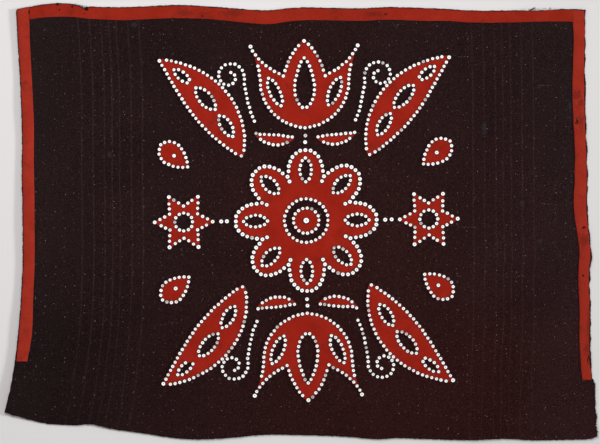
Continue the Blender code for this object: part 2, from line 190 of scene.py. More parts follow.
def close_sheet(name, net, thickness, roll):
    """Gives a flat net its thickness and a rounded edge, and makes it an object."""
    grown = bmesh.ops.extrude_face_region(net, geom=net.faces[:])["geom"]
    upper = {item for item in grown if isinstance(item, bmesh.types.BMVert)}
    bmesh.ops.translate(net, verts=list(upper), vec=(0.0, 0.0, thickness * MM))
    bmesh.ops.recalc_face_normals(net, faces=net.faces[:])
    wall = [edge for edge in net.edges if (edge.verts[0] in upper) != (edge.verts[1] in upper)]
    cut = bmesh.ops.subdivide_edges(net, edges=wall, cuts=1)["geom_inner"]
    net.normal_update()
    for item in cut:
        if isinstance(item, bmesh.types.BMVert):
            item.co += item.normal * roll * MM
    mesh = bpy.data.meshes.new(name)
    net.to_mesh(mesh)
    net.free()
    mesh.shade_smooth()
    mesh.set_sharp_from_angle(angle=math.radians(50.0))
    sheet = bpy.data.objects.new(name, mesh)
    bpy.context.scene.collection.objects.link(sheet)
    return sheet


# The stripes lie alike on both sides of the cloth's middle. Columns: distance from the middle as a
# share of the width, strength
STRIPE_MIDDLE = 0.5058
STRIPES = [(0.2930, 0.95), (0.3129, 0.8), (0.3334, 0.85), (0.3466, 1.0), (0.3603, 0.9), (0.3803, 1.0),
           (0.4006, 0.95)]
STRIPE_HALF = 0.0019
STRIPE_REACH = (0.28, 0.412)
STRIPE_BOW = 0.016
# How far pulling has drawn the stripes to the right. Columns: share of the height, distance
LEFT_DRIFT = [(0.0, -6.5), (0.08, -6.0), (0.12, -5.2), (0.17, -3.4), (0.21, -1.3), (0.3, 0.0), (0.45, -0.5),
              (0.55, 1.3), (0.64, 0.0), (0.7, 1.0), (0.76, 3.5), (0.85, 5.6), (0.945, 4.3), (1.0, 3.5)]
RIGHT_DRIFT = [(0.0, -7.5), (0.08, -7.4), (0.12, -8.0), (0.17, -2.0), (0.21, 0.9), (0.3, 0.0), (0.45, -2.0),
               (0.55, 1.6), (0.64, -0.6), (0.7, 1.5), (0.76, 3.0), (0.85, 2.2), (0.945, -2.0), (1.0, -3.5)]
# How the raw edges stray, on the right edge and on the others. Columns: length, depth
FRAY = [(13.0, 1.1), (4.2, 1.0)]
RIGHT_FRAY = [(30.0, 4.2), (13.0, 1.1), (4.2, 1.1)]
# The ragged end of the right edge. Columns: y, how far it stands out
RAGGED = [(-640.0, -5.5), (-631.0, -1.6), (-621.0, 0.4), (-606.0, -1.2), (-592.0, 0.4), (-569.0, 3.4),
          (-564.5, -0.6), (-550.0, 0.0), (-465.0, 0.0)]
RAGGED_TEETH = (4.4, 3.0)
EDGE_CUTS = 2
# How far the bottom edge has worn back. Columns: share of the width, depth
WORN_BACK = [(0.0, 1.0), (0.025, 5.5), (0.07, 5.2), (0.09, 7.0), (0.12, 6.0), (0.144, 8.2), (0.165, 3.8), (0.2, 3.5),
             (0.3, 2.6), (0.4, 4.2), (0.5, 3.2), (0.57, 3.2), (0.75, 3.6), (0.8, 2.2), (0.88, 1.2), (0.929, 3.1),
             (0.954, 4.4), (0.984, 3.6), (1.0, 2.0)]
# How far the top edge has worn back. Columns: share of the width, depth
TOP_WORN = [(0.0, 0.8), (0.88, 0.9), (0.9, 2.6), (0.94, 2.4), (0.96, 0.9), (1.0, 0.6)]
RIGHT_WORN = 1.1
# The tear in the top edge, deeper in the red strip than in the ground. Columns: x, depth
TEAR = [(-672.0, 0.0), (-655.0, 1.2), (-649.0, 3.4), (-644.0, 5.6), (-639.5, 5.2), (-636.5, 2.2), (-631.0, 1.4),
        (-627.0, 0.0)]
RED_TEAR = [(-676.0, 0.0), (-670.0, 1.4), (-657.0, 3.0), (-649.0, 4.8), (-641.4, 7.8), (-634.0, 10.8), (-631.0, 8.0),
            (-628.0, 0.0)]
TEAR_TEETH = (2.4, 2.6)
EDGE_REACH = 0.05
# How far wear has rounded the left corners, at the bottom and the top, and how near them
CORNER_WEAR = (0.6, 4.0)
TOP_CORNER = 0.008


def stray(rows, station, seed):
    """How far a raw edge strays from its drawn line here."""
    return sum(depth * noise.noise(Vector((station / length, length, seed))) for length, depth in rows)


def torn(x, rows):
    """How deep the tear goes here."""
    if not rows[0][0] < x < rows[-1][0]:
        return 0.0
    return max(read_table(rows, x) + stray([TEAR_TEETH], x, rows[1][1]), 0.0)


def ground_place(across, up):
    x, y = cloth_point(across, up)
    if across == 0.0:
        x += stray(FRAY, y, 3.7)
    if across == 1.0 and y > RAGGED[-1][0]:
        x += stray(RIGHT_FRAY, y, 4.7) - RIGHT_WORN
    if across == 1.0 and y <= RAGGED[-1][0]:
        x += read_table(RAGGED, y) + stray([RAGGED_TEETH], y, 4.7)
    if up in (0.0, 1.0):
        y += stray(FRAY, x, 8.3 + up)
    low, high = max(1.0 - up / EDGE_REACH, 0.0), max((up - 1.0) / EDGE_REACH + 1.0, 0.0)
    near, near_top = max(1.0 - across / EDGE_REACH, 0.0), max((up - 1.0) / TOP_CORNER + 1.0, 0.0)
    x += (CORNER_WEAR[0] * low + CORNER_WEAR[1] * near_top ** 2) * near
    y += read_table(WORN_BACK, across) * low - (torn(x, TEAR) + read_table(TOP_WORN, across)) * high
    return x, y, cloth_top(x, y)


def shader_node(tree, kind, sockets=(), **settings):
    """Adds one node. sockets holds pairs of an input and its value or the output linked to it."""
    made = tree.nodes.new("ShaderNode" + kind)
    for name, value in settings.items():
        setattr(made, name, value)
    for socket, value in sockets:
        if isinstance(value, bpy.types.NodeSocket):
            tree.links.new(value, made.inputs[socket])
        else:
            made.inputs[socket].default_value = value
    return made


def new_finish(name, roughness, specular, sheen=0.0):
    """A material, its node tree and its shader, with the even values on the shader's own sockets."""
    material = bpy.data.materials.new(name)
    material.use_nodes = True
    shader = material.node_tree.nodes["Principled BSDF"]
    shader.inputs["Roughness"].default_value = roughness
    shader.inputs["Specular IOR Level"].default_value = specular
    shader.inputs["Sheen Weight"].default_value = sheen
    shader.inputs["Sheen Roughness"].default_value = 0.6
    return material, material.node_tree, shader


def blend_colours(tree, share, low, high):
    """The colour output of a mix of two colours, each a value or an output."""
    made = shader_node(tree, "Mix", [("Factor", share)], data_type="RGBA")
    for socket, colour in ((6, low), (7, high)):
        if isinstance(colour, bpy.types.NodeSocket):
            tree.links.new(colour, made.inputs[socket])
        else:
            made.inputs[socket].default_value = (*colour, 1.0)
    return made.outputs[2]


def grain(tree, place, scale, detail=2.0, roughness=0.5):
    made = shader_node(tree, "TexNoise", [("Vector", place), ("Scale", scale), ("Detail", detail),
                                          ("Roughness", roughness)])
    return made.outputs["Fac"]


def spread(tree, value, low, high, to_low=0.0, to_high=1.0):
    """A value stretched from one range to another, and held inside it."""
    made = shader_node(tree, "MapRange", [("Value", value), ("From Min", low), ("From Max", high),
                                          ("To Min", to_low), ("To Max", to_high)])
    return made.outputs["Result"]


def sums(tree, kind, one, two):
    return shader_node(tree, "Math", [(0, one), (1, two)], operation=kind).outputs[0]


def spots(tree, place, rows, ragged):
    """A mask of soft spots at real places. Columns of rows: x, y, half width, half height."""
    mask = 0.0
    wander = spread(tree, grain(tree, place, 160.0, 3.0, 0.6), 0.3, 0.7, -ragged, ragged)
    for x, y, half_width, half_height in rows:
        away = shader_node(tree, "VectorMath", [(0, place), (1, (x * MM, y * MM, 0.0))], operation="SUBTRACT")
        share = (1000.0 / half_width, 1000.0 / half_height, 0.0)
        scaled = shader_node(tree, "VectorMath", [(0, away.outputs[0]), (1, share)], operation="MULTIPLY")
        reach = shader_node(tree, "VectorMath", [(0, scaled.outputs[0])], operation="LENGTH")
        worn = sums(tree, "ADD", reach.outputs["Value"], wander)
        mask = sums(tree, "MAXIMUM", mask, spread(tree, worn, 1.1, 0.5))
    return mask


def weave_bump(tree, shader, place, thread, depth, nap):
    """Raises crossed threads of this width and a felted nap over them."""
    height = nap
    for axis in ("X", "Y"):
        wave = shader_node(tree, "TexWave", [("Vector", place), ("Scale", 0.3142 / (thread * MM)),
                                             ("Distortion", 2.5), ("Detail", 2.0), ("Detail Scale", 1.5)],
                           bands_direction=axis)
        height = sums(tree, "ADD", height, wave.outputs["Fac"])
    bump = shader_node(tree, "Bump", [("Height", height), ("Strength", 0.7), ("Distance", depth * MM)])
    tree.links.new(bump.outputs["Normal"], shader.inputs["Normal"])


# Dark wool: faded unevenly, browner to the right and darkest at the lower left, with pale and reddish
# lint caught all over it and a few bluish smudges.
# Columns: share of the width, colour near the bottom, halfway up and near the top
FADED = [
    (0.043, (0.0135, 0.0076, 0.0079), (0.0189, 0.0100, 0.0102), (0.0175, 0.0100, 0.0105)),
    (0.148, (0.0150, 0.0072, 0.0077), (0.0186, 0.0086, 0.0093), (0.0167, 0.0084, 0.0092)),
    (0.287, (0.0204, 0.0081, 0.0082), (0.0203, 0.0089, 0.0091), (0.0170, 0.0081, 0.0084)),
    (0.496, (0.0249, 0.0079, 0.0076), (0.0252, 0.0083, 0.0078), (0.0198, 0.0081, 0.0081)),
    (0.704, (0.0265, 0.0079, 0.0076), (0.0239, 0.0089, 0.0086), (0.0200, 0.0091, 0.0094)),
    (0.861, (0.0239, 0.0073, 0.0071), (0.0227, 0.0096, 0.0099), (0.0183, 0.0084, 0.0090)),
    (0.965, (0.0288, 0.0113, 0.0114), (0.0235, 0.0111, 0.0124), (0.0200, 0.0111, 0.0116)),
]
WOOL_STRIPE = (0.056, 0.031, 0.0295)
LINT_PALE = (0.41, 0.300, 0.285)
LINT_GREY = (0.178, 0.122, 0.118)
LINT_DULL = (0.070, 0.0385, 0.037)
# Columns: x, y, half width, half height
SMUDGE = (0.0265, 0.0245, 0.0285)
CLOTH_SMUDGES = [
    (-494.0, 583.5, 13.0, 8.0),
    (-567.0, 197.0, 7.0, 9.0),
    (280.5, 579.0, 6.0, 5.5),
    (542.0, 277.5, 9.0, 20.0),
    (651.5, 54.5, 8.0, 8.0),
    (706.0, -56.5, 9.0, 8.0),
    (795.0, 342.0, 5.5, 19.0),
    (792.0, 308.0, 7.0, 4.5),
]


def lint(tree, place, cell, radius, share):
    """A mask of small specks, at most one in each cell, in this share of the cells."""
    cells = shader_node(tree, "TexVoronoi", [("Vector", place), ("Scale", 1000.0 / cell)],
                        voronoi_dimensions="2D")
    chance = shader_node(tree, "SeparateColor", [("Color", cells.outputs["Color"])])
    size = spread(tree, chance.outputs["Red"], 1.0 - share, 1.0, 0.0, radius / cell)
    return sums(tree, "LESS_THAN", cells.outputs["Distance"], size)


dark_wool, tree, shader = new_finish("dark_wool", 0.95, 0.02)
place = shader_node(tree, "TexCoord").outputs["Object"]
shares = shader_node(tree, "UVMap", uv_map="Shares").outputs["UV"]
split = shader_node(tree, "SeparateXYZ", [("Vector", shares)])
from_middle = shader_node(tree, "Math", [(0, split.outputs["X"]), (1, STRIPE_MIDDLE)], operation="SUBTRACT")
side = shader_node(tree, "Math", [(0, from_middle.outputs[0])], operation="ABSOLUTE").outputs[0]
ramp = shader_node(tree, "ValToRGB", [("Fac", spread(tree, side, *STRIPE_REACH))])
for from_side, strength in STRIPES:
    for offset, value in ((-STRIPE_HALF, 0.0), (0.0, strength), (STRIPE_HALF, 0.0)):
        at = (from_side + offset - STRIPE_REACH[0]) / (STRIPE_REACH[1] - STRIPE_REACH[0])
        ramp.color_ramp.elements.new(at).color = (value, value, value, 1.0)
ramp.color_ramp.elements[-1].color = (0.0, 0.0, 0.0, 1.0)
uneven = spread(tree, grain(tree, place, 26.0, 3.0), 0.3, 0.7, 0.22, 0.64)
worn = sums(tree, "MULTIPLY", spread(tree, split.outputs["X"], 0.3, 0.7, 1.0, 0.85),
            spread(tree, split.outputs["Y"], 0.1, 0.4, 0.6, 1.0))
stripes = sums(tree, "MULTIPLY", ramp.outputs["Color"], sums(tree, "MULTIPLY", uneven, worn))
bands = []
for column in (1, 2, 3):
    band = shader_node(tree, "ValToRGB", [("Fac", split.outputs["X"])])
    for row in FADED:
        band.color_ramp.elements.new(row[0]).color = (*row[column], 1.0)
    band.color_ramp.elements[0].color = (*FADED[0][column], 1.0)
    band.color_ramp.elements[-1].color = (*FADED[-1][column], 1.0)
    bands.append(band.outputs["Color"])
colour = blend_colours(tree, spread(tree, split.outputs["Y"], 0.2, 0.42), bands[0], bands[1])
colour = blend_colours(tree, spread(tree, split.outputs["Y"], 0.5, 0.82), colour, bands[2])
colour = blend_colours(tree, stripes, colour, WOOL_STRIPE)
cloudy = spread(tree, grain(tree, place, 5.0, 3.0), 0.3, 0.7, 0.9, 1.1)
fleck = grain(tree, place, 270.0, 3.0, 0.8)
paled = shader_node(tree, "Mix", [("Factor", 1.0), (6, colour)], data_type="RGBA", blend_type="MULTIPLY")
level = sums(tree, "MULTIPLY", spread(tree, fleck, 0.31, 0.78, 0.16, 2.0), cloudy)
tree.links.new(shader_node(tree, "CombineXYZ", [(0, level), (1, level), (2, level)]).outputs[0],
               paled.inputs[7])
colour = blend_colours(tree, lint(tree, place, 8.5, 0.82, 0.7), paled.outputs[2], LINT_DULL)
colour = blend_colours(tree, lint(tree, place, 16.0, 0.85, 0.7), colour, LINT_GREY)
colour = blend_colours(tree, lint(tree, place, 29.0, 0.95, 0.7), colour, LINT_PALE)
colour = blend_colours(tree, sums(tree, "MULTIPLY", spots(tree, place, CLOTH_SMUDGES, 0.5), 0.7), colour, SMUDGE)
tree.links.new(colour, shader.inputs["Base Color"])
weave_bump(tree, shader, place, 1.5, 0.5, grain(tree, place, 420.0, 4.0, 0.65))

ground = laid_sheet("wool_ground", CLOTH_CELLS, ground_place, CLOTH_THICK, EDGE_ROLL, EDGE_CUTS)
drifts = {}
for loop in ground.data.uv_layers["Shares"].data:
    across, up = loop.uv
    if up not in drifts:
        drifts[up] = read_table(LEFT_DRIFT, up), read_table(RIGHT_DRIFT, up)
    drawn = mix(*drifts[up], across) / CLOTH_WIDTH
    loop.uv = (across + STRIPE_BOW * across ** 2 * (1.0 - up) ** 2 - drawn, up)
ground.data.materials.append(dark_wool)
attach(ground, "root")
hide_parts("ground_cloth")


# Border strips
# Three strips of red wool, cut by hand and sewn down on the top and the two sides. The side strips run
# up to the top edge, the top strip lies between them, and a dark rim of the ground shows past them.
RED_THICK = 1.2
SEAT = 0.3
BORDER_END = 0.131
# Columns of these tables: share of the side from its lower or left end, width
RIMS = {
    "top": [(0.0, 3.4), (1.0, 3.4)],
    "left": [(0.128, 4.2), (0.2, 3.0), (1.0, 3.0)],
    "right": [(0.13, 3.5), (0.147, 4.6), (0.161, 4.8), (0.176, 6.0), (0.19, 5.6), (0.25, 5.0), (0.4, 4.8), (1.0, 4.4)],
}
WIDTHS = {
    "top": [(0.0, 35.2), (0.045, 36.2), (0.077, 37.8), (0.13, 34.0), (0.183, 36.7), (0.235, 35.1), (0.288, 35.3),
            (0.341, 34.2), (0.394, 36.4), (0.446, 38.1), (0.5, 34.9), (0.552, 33.6), (0.605, 33.9), (0.657, 33.5),
            (0.71, 35.3), (0.763, 32.1), (0.815, 32.7), (0.868, 32.5), (0.921, 32.1), (1.0, 35.1)],
    "left": [(0.128, 30.6), (0.155, 33.2), (0.172, 35.6), (0.2, 37.7), (0.229, 37.3), (0.28, 34.1), (0.354, 33.6),
             (0.43, 33.7), (0.5, 34.1), (0.577, 35.3), (0.65, 33.4), (0.726, 34.5), (0.8, 33.9), (0.875, 33.4),
             (0.94, 34.8), (1.0, 38.0)],
    "right": [(0.13, 24.4), (0.147, 27.0), (0.161, 27.6), (0.176, 26.2), (0.19, 26.6), (0.25, 30.1), (0.32, 30.0),
              (0.39, 32.1), (0.46, 32.6), (0.53, 37.2), (0.6, 36.7), (0.672, 33.8), (0.81, 35.8), (0.883, 32.9),
              (0.95, 34.4), (1.0, 36.0)],
}
# Where the lower ends of the side strips are cut square
SIDE_END = {"left": -411.5, "right": -465.5}
# Worn places in the strips' outer edges. Columns: x, y, half length, depth
NOTCHES = [(859.0, -404.0, 7.0, 3.0), (-720.4, 645.5, 5.0, 4.5), (700.0, 626.0, 20.0, 2.4)]
BORDER_CROWN = 0.7
# How unevenly each strip was cut and set. Columns: length, depth
STRIP_STRAY = {
    "top": [(28.0, 1.6), (5.0, 0.8)],
    "left": [(28.0, 1.3), (5.0, 0.7)],
    "right": [(24.0, 2.0), (5.0, 0.9)],
}
# Share of that on the inner edges, which were cut straighter
INNER_STRAY = 0.35


def notch(x, y):
    """How far wear has eaten into a strip's outer edge here."""
    depth = 0.0
    for at_x, at_y, half_length, eaten in NOTCHES:
        away = math.dist((x, y), (at_x, at_y)) / half_length
        if away < 1.0:
            depth += eaten * (1.0 - away ** 2) * (0.75 + 0.5 * noise.noise(Vector((x / 2.5, y / 2.5, 1.0))))
    return depth


def strip_point(side, inward, along):
    """x, y and height of a strip's face, this share in from its outer edge and along it from its start."""
    if side == "top":
        inner = {other: (RIMS[other][-1][1] + WIDTHS[other][-1][1]) / CLOTH_WIDTH for other in ("left", "right")}
        across = mix(inner["left"], 1.0 - inner["right"], along)
        rim, width, total = read_table(RIMS["top"], across), read_table(WIDTHS["top"], across), CLOTH_HEIGHT
        edge = cloth_point(across, 1.0)
    else:
        low = BORDER_END
        share = (read_table(RIMS[side], low) + read_table(WIDTHS[side], low) * inward) / CLOTH_WIDTH
        for _ in range(2):
            low += (SIDE_END[side] - cloth_point(share if side == "left" else 1.0 - share, low)[1]) / CLOTH_HEIGHT
        up = mix(low, 1.0 - RIMS["top"][0][1] / CLOTH_HEIGHT, along)
        rim, width, total = read_table(RIMS[side], up), read_table(WIDTHS[side], up), CLOTH_WIDTH
        edge = cloth_point(0.0 if side == "left" else 1.0, up)
    wander = stray(STRIP_STRAY[side], edge[0] if side == "top" else edge[1], inward * 1.5)
    wander *= mix(1.0, INNER_STRAY, inward)
    outer = (notch(*edge) + (torn(edge[0], RED_TEAR) if side == "top" else 0.0)) * (1.0 - inward)
    reach = (rim + outer + wander + width * inward) / total
    if side == "top":
        x, y = cloth_point(across, 1.0 - reach)
    else:
        x, y = cloth_point(reach if side == "left" else 1.0 - reach, up)
    crown = BORDER_CROWN * math.sin(math.pi * inward) ** 0.6 if 0.0 < inward < 1.0 else 0.0
    pucker = 0.35 * (1.0 + noise.noise(Vector((x / 9.0, y / 9.0, 5.0)))) * (crown / BORDER_CROWN)
    return x, y, cloth_top(x, y) + SEAT + RED_THICK + crown + pucker


# Red wool: slightly felted, faded unevenly, with darker patches and small dark nicks where it wore through.
# Columns: x, y, half width, half height
BORDER_DARK_PATCHES = {
    "top": [(-343.0, 617.0, 30.0, 10.0), (-205.0, 616.0, 36.0, 11.0), (224.0, 614.0, 30.0, 9.0)],
    "left": [],
    "right": [
        (813.0, 374.0, 18.0, 18.0),
        (828.0, 353.0, 11.0, 13.0),
        (826.0, 300.0, 9.0, 20.0),
        (835.0, -52.0, 17.0, 20.0),
        (851.0, -310.0, 9.0, 60.0),
        (845.0, -374.0, 11.0, 18.0),
    ],
}
BORDER_NICKS = {
    "top": [
        (-714.0, 626.4, 3.2, 2.6),
        (-720.4, 641.0, 5.0, 4.0),
        (-675.2, 636.1, 4.2, 3.8),
        (-803.0, 619.0, 3.0, 10.0),
        (-641.0, 615.0, 2.3, 2.0),
        (-291.5, 608.5, 3.5, 3.0),
        (249.5, 613.0, 3.5, 3.0),
    ],
    "left": [(-803.0, 619.0, 3.0, 10.0)],
    "right": [
        (815.0, 297.5, 3.2, 10.0),
        (811.5, 291.0, 3.4, 3.2),
        (834.2, -16.3, 6.0, 5.0),
        (832.0, -158.5, 4.5, 3.5),
        (848.5, -399.0, 2.4, 7.5),
        (846.0, -409.0, 2.4, 6.5),
        (849.5, -418.0, 4.0, 2.4),
    ],
}
# The side strips' reds hold a painted sheen: paler, with more green and blue than the top strip's red.
STRIP_REDS_SIDE_SHEEN = {"top": (0.333, 0.0220, 0.0102), "left": (0.382, 0.0308, 0.0165), "right": (0.382, 0.0310, 0.0163)}
DESIGN_RED = (0.362, 0.0175, 0.0082)
# The lower end of the right strip is duller. Columns: y where it starts, y where it ends, share of the colour kept
DULLER = (-0.06, -0.24, 0.80)
RED_DARK_PATCH = (0.123, 0.015, 0.010)
NICK = (0.018, 0.0075, 0.0075)


def red_finish(name, red, dark_patches, nicks, dulled=False):
    """Red wool of one colour, with its own darker patches and nicks."""
    material, tree, shader = new_finish(name, 0.92, 0.02)
    place = shader_node(tree, "TexCoord").outputs["Object"]
    faded = tuple(min(1.0, part * 1.16 + 0.003) for part in red)
    deep = tuple(part * 0.86 for part in red)
    colour = blend_colours(tree, spread(tree, grain(tree, place, 16.0, 4.0, 0.6), 0.3, 0.7), deep, faded)
    fibres = spread(tree, grain(tree, place, 430.0, 3.0, 0.75), 0.3, 0.72)
    colour = blend_colours(tree, sums(tree, "MULTIPLY", fibres, 0.8), colour, tuple(p * 0.5 for p in red))
    if dulled:
        height = shader_node(tree, "SeparateXYZ", [("Vector", place)]).outputs["Y"]
        dull = spread(tree, height, DULLER[0], DULLER[1], 0.0, 1.0)
        colour = blend_colours(tree, dull, colour, tuple(p * DULLER[2] for p in red))
    colour = blend_colours(tree, lint(tree, place, 26.0, 0.9, 0.5), colour, NICK)
    soiled = spread(tree, grain(tree, place, 24.0, 4.0, 0.65), 0.56, 0.72, 0.0, 0.5)
    colour = blend_colours(tree, soiled, colour, RED_DARK_PATCH)
    # Darker patches at the listed places.
    if dark_patches:
        strength = sums(tree, "MULTIPLY", spots(tree, place, dark_patches, 0.6), 0.62)
        colour = blend_colours(tree, strength, colour, RED_DARK_PATCH)
    if nicks:
        colour = blend_colours(tree, spots(tree, place, nicks, 0.35), colour, NICK)
    tree.links.new(colour, shader.inputs["Base Color"])
    weave_bump(tree, shader, place, 0.9, 0.3, grain(tree, place, 560.0, 4.0, 0.65))
    return material


STRIP_CELLS = {"top": (420, 10), "left": (10, 290), "right": (10, 300)}

for side, cells in STRIP_CELLS.items():
    def strip_place(first, second, side=side):
        if side == "top":
            return strip_point(side, 1.0 - second, first)
        return strip_point(side, first if side == "left" else 1.0 - first, second)

    strip = laid_sheet(f"red_border_{side}", cells, strip_place, RED_THICK, EDGE_ROLL, 1)
    finish = red_finish(f"border_red_{side}", STRIP_REDS_SIDE_SHEEN[side], BORDER_DARK_PATCHES[side], BORDER_NICKS[side],
                        side == "right")
    strip.data.materials.append(finish)
    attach(strip, "root")
    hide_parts(f"border_{side}")


# Border stitches
# Short running stitches of dull red thread, by hand and so uneven, along both long edges of each strip.
STITCH_PITCH = 8.0
STITCH_HALF = 2.0
STITCH_RADIUS = 0.32
STITCH_INSET = 0.09
draw = random.Random(41)


def add_copies(name, forms, places):
    """One joined mesh of small forms. places holds a form's number, its matrix and its tone."""
    joined = bmesh.new()
    tone = joined.verts.layers.float.new("tone")
    for number, matrix, shade in places:
        before = len(joined.verts)
        joined.from_mesh(forms[number])
        joined.verts.ensure_lookup_table()
        fresh = joined.verts[before:]
        bmesh.ops.transform(joined, matrix=matrix, verts=fresh)
        for vert in fresh:
            vert[tone] = shade
    mesh = bpy.data.meshes.new(name)
    joined.to_mesh(mesh)
    joined.free()
    piece = bpy.data.objects.new(name, mesh)
    bpy.context.scene.collection.objects.link(piece)
    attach(piece, "root")
    return piece


def finish_form(name, form, materials=()):
    """Makes a small form's mesh, with its faces turned outwards."""
    bmesh.ops.recalc_face_normals(form, faces=form.faces[:])
    mesh = bpy.data.meshes.new(name)
    form.to_mesh(mesh)
    form.free()
    mesh.shade_smooth()
    for material in materials:
        mesh.materials.append(material)
    return mesh


red_thread, tree, shader = new_finish("red_thread", 0.8, 0.2)
place = shader_node(tree, "TexCoord").outputs["Object"]
twist = spread(tree, grain(tree, place, 1400.0), 0.35, 0.65)
tree.links.new(blend_colours(tree, twist, (0.131, 0.010, 0.007), (0.213, 0.025, 0.016)), shader.inputs["Base Color"])

form = bmesh.new()
bmesh.ops.create_uvsphere(form, u_segments=6, v_segments=4, radius=1.0)
bmesh.ops.rotate(form, verts=form.verts[:], cent=(0, 0, 0), matrix=Matrix.Rotation(math.pi / 2, 3, "Y"))
bmesh.ops.scale(form, verts=form.verts[:], vec=Vector((STITCH_HALF, STITCH_RADIUS, STITCH_RADIUS)) * MM)
stitch_form = finish_form("stitch_form", form)

stitches = []
for side, length in (("top", 1610.0), ("left", 1040.0), ("right", 1090.0)):
    count = int(length / STITCH_PITCH)
    for inward in (STITCH_INSET, 1.0 - STITCH_INSET):
        for k in range(count):
            along = (k + 0.5 + draw.uniform(-0.18, 0.18)) / count
            x, y, z = strip_point(side, inward, along)
            next_x, next_y, _ = strip_point(side, inward, min(along + 0.002, 1.0))
            turn = math.atan2(next_y - y, next_x - x) + draw.uniform(-0.2, 0.2)
            spin = Matrix.Rotation(turn, 4, "Z") @ Matrix.Scale(draw.uniform(0.75, 1.15), 4)
            stitches.append((0, Matrix.Translation(Vector((x, y, z + 0.05)) * MM) @ spin, 0.5))
border_stitches = add_copies("border_stitches", [stitch_form], stitches)
border_stitches.data.materials.append(red_thread)


# Red wool pieces of the design
# A round flower with eight petals, a tulip above and below it, four long leaves, four small leaves, a
# star and two drops at each side. Each is cut from red wool with holes that show the dark ground, and
# lies flat where its edge is sewn down and a little fuller inside.
MIDDLE = (15.0, 4.0)
DESIGN_TURN = 0.7
PETALS = 8
PETAL_TIP = 212.0
PETAL_NOTCH = 128.0
PETAL_FULLNESS = 0.62
FLOWER_HOLE = 62.0
DISC_RADIUS = 40.0
PETAL_SLOT = (150.0, 33.0, 15.0)
TULIP_FOOT = 272.0
# Right half of the tulip from its foot. Columns: x, y, bulge of the arc to the next row
TULIP = [
    (0.0, 0.0, 0.36),
    (132.0, 122.0, -0.10),
    (160.0, 250.0, -0.19),
    (62.0, 160.0, 0.16),
    (0.0, 265.0, 0.0),
]
# Columns: x, y, turn in degrees, half length, half width, skew
TULIP_HOLES = [
    (0.0, 134.0, 90.0, 72.0, 26.0, -0.35),
    (88.0, 109.0, 66.0, 42.0, 13.0, 0.0),
    (-88.0, 109.0, 114.0, 42.0, 13.0, 0.0),
]
LEAF_ROOT = (186.0, 188.0)
LEAF_TIP = (432.0, 482.0)
LEAF_BEND = -0.16
LEAF_HALF_WIDTH = 62.0
# Columns: share of the leaf's length, half length, half width
LEAF_HOLES = [(0.27, 34.0, 13.0), (0.53, 40.0, 16.0), (0.78, 27.0, 10.0)]
LEAFLET_ROOT = (32.0, 246.0)
LEAFLET_TIP = (152.0, 260.0)
LEAFLET_BEND = 0.22
LEAFLET_HALF_WIDTH = 17.0
STAR_AT = 362.0
STAR_POINTS = 6
STAR_TIP = 92.0
STAR_NOTCH = 50.0
STAR_HOLE = 24.0
DROP_AT = (388.0, 196.0)
DROP_TURN = 40.0
DROP = (54.0, 34.0, 0.35)
PUFF = (20.0, 0.9)
HAND_CUT = (34.0, 0.9)
CUT_CELL = 13.0


def arc(start, end, bulge, steps):
    """Points from start up to but not at end, on an arc; a positive bulge turns it left, past the right."""
    along, points = Vector(end) - Vector(start), []
    aside = Vector((along.y, -along.x))
    for k in range(steps):
        t = k / steps
        if abs(bulge) < 1e-6:
            points.append(tuple(Vector(start) + along * t))
            continue
        sweep = 4.0 * math.atan(bulge)
        radius = 0.5 / math.sin(sweep / 2)
        angle = sweep * (t - 0.5)
        height = radius * (math.cos(angle) - math.cos(sweep / 2))
        points.append(tuple(Vector(start) + along * (0.5 + radius * math.sin(angle)) + aside * height))
    return points


def mirrored_outline(half, steps):
    """A closed outline from the rows of its right half, foot first, going round to the left."""
    points = []
    for (x, y, bulge), (next_x, next_y, _) in zip(half, half[1:]):
        points += arc((x, y), (next_x, next_y), bulge, steps)
    return points + [half[-1][:2]] + [(-x, y) for x, y in reversed(points[1:])]


def drop_outline(x, y, turn, half_length, half_width, skew=0.0, count=44):
    """A lens with two sharp ends, or with skew a drop whose fuller end is behind or ahead."""
    angle = math.radians(turn)
    points = []
    for k in range(count):
        t = 2.0 * math.pi * k / count
        along = half_length * math.cos(t)
        aside = half_width * math.sin(t) * abs(math.sin(t)) ** 0.4 * (1.0 + skew * math.cos(t))
        points.append((x + along * math.cos(angle) - aside * math.sin(angle),
                       y + along * math.sin(angle) + aside * math.cos(angle)))
    return points


def ring_outline(x, y, radius, count=60):
    return [(x + radius * math.cos(2 * math.pi * k / count), y + radius * math.sin(2 * math.pi * k / count))
            for k in range(count)]


def leaf_outline(root, tip, bend, half_width, steps):
    """A leaf's outline, out along one side of its midrib and back along the other."""
    rib = [Vector(point) for point in arc(root, tip, bend, steps) + [tip]]
    sides = {1: [], -1: []}
    for k in range(1, steps):
        along = (rib[k + 1] - rib[k - 1]).normalized()
        half = half_width * math.sin(math.pi * (k / steps) ** 0.9) ** 0.85
        for side, line in sides.items():
            line.append(tuple(rib[k] + side * half * Vector((along.y, -along.x))))
    return [root] + sides[1] + [tip] + sides[-1][::-1]


def leaf_holes(root, tip, bend, rows):
    """Lenses set along a leaf's midrib."""
    fine = 100
    rib = arc(root, tip, bend, fine) + [tip]
    holes = []
    for share, half_length, half_width in rows:
        k = round(share * fine)
        turn = math.degrees(math.atan2(rib[k + 1][1] - rib[k - 1][1], rib[k + 1][0] - rib[k - 1][0]))
        holes.append(drop_outline(*rib[k], turn, half_length, half_width))
    return holes


def placed(points, flip_x=1, flip_y=1):
    """Points of the design in the blanket's frame, going round the same way when mirrored."""
    along, aside = math.cos(math.radians(DESIGN_TURN)), math.sin(math.radians(DESIGN_TURN))
    line = [(MIDDLE[0] + flip_x * x * along - flip_y * y * aside,
             MIDDLE[1] + flip_x * x * aside + flip_y * y * along) for x, y in points]
    return line if flip_x * flip_y > 0 else line[::-1]


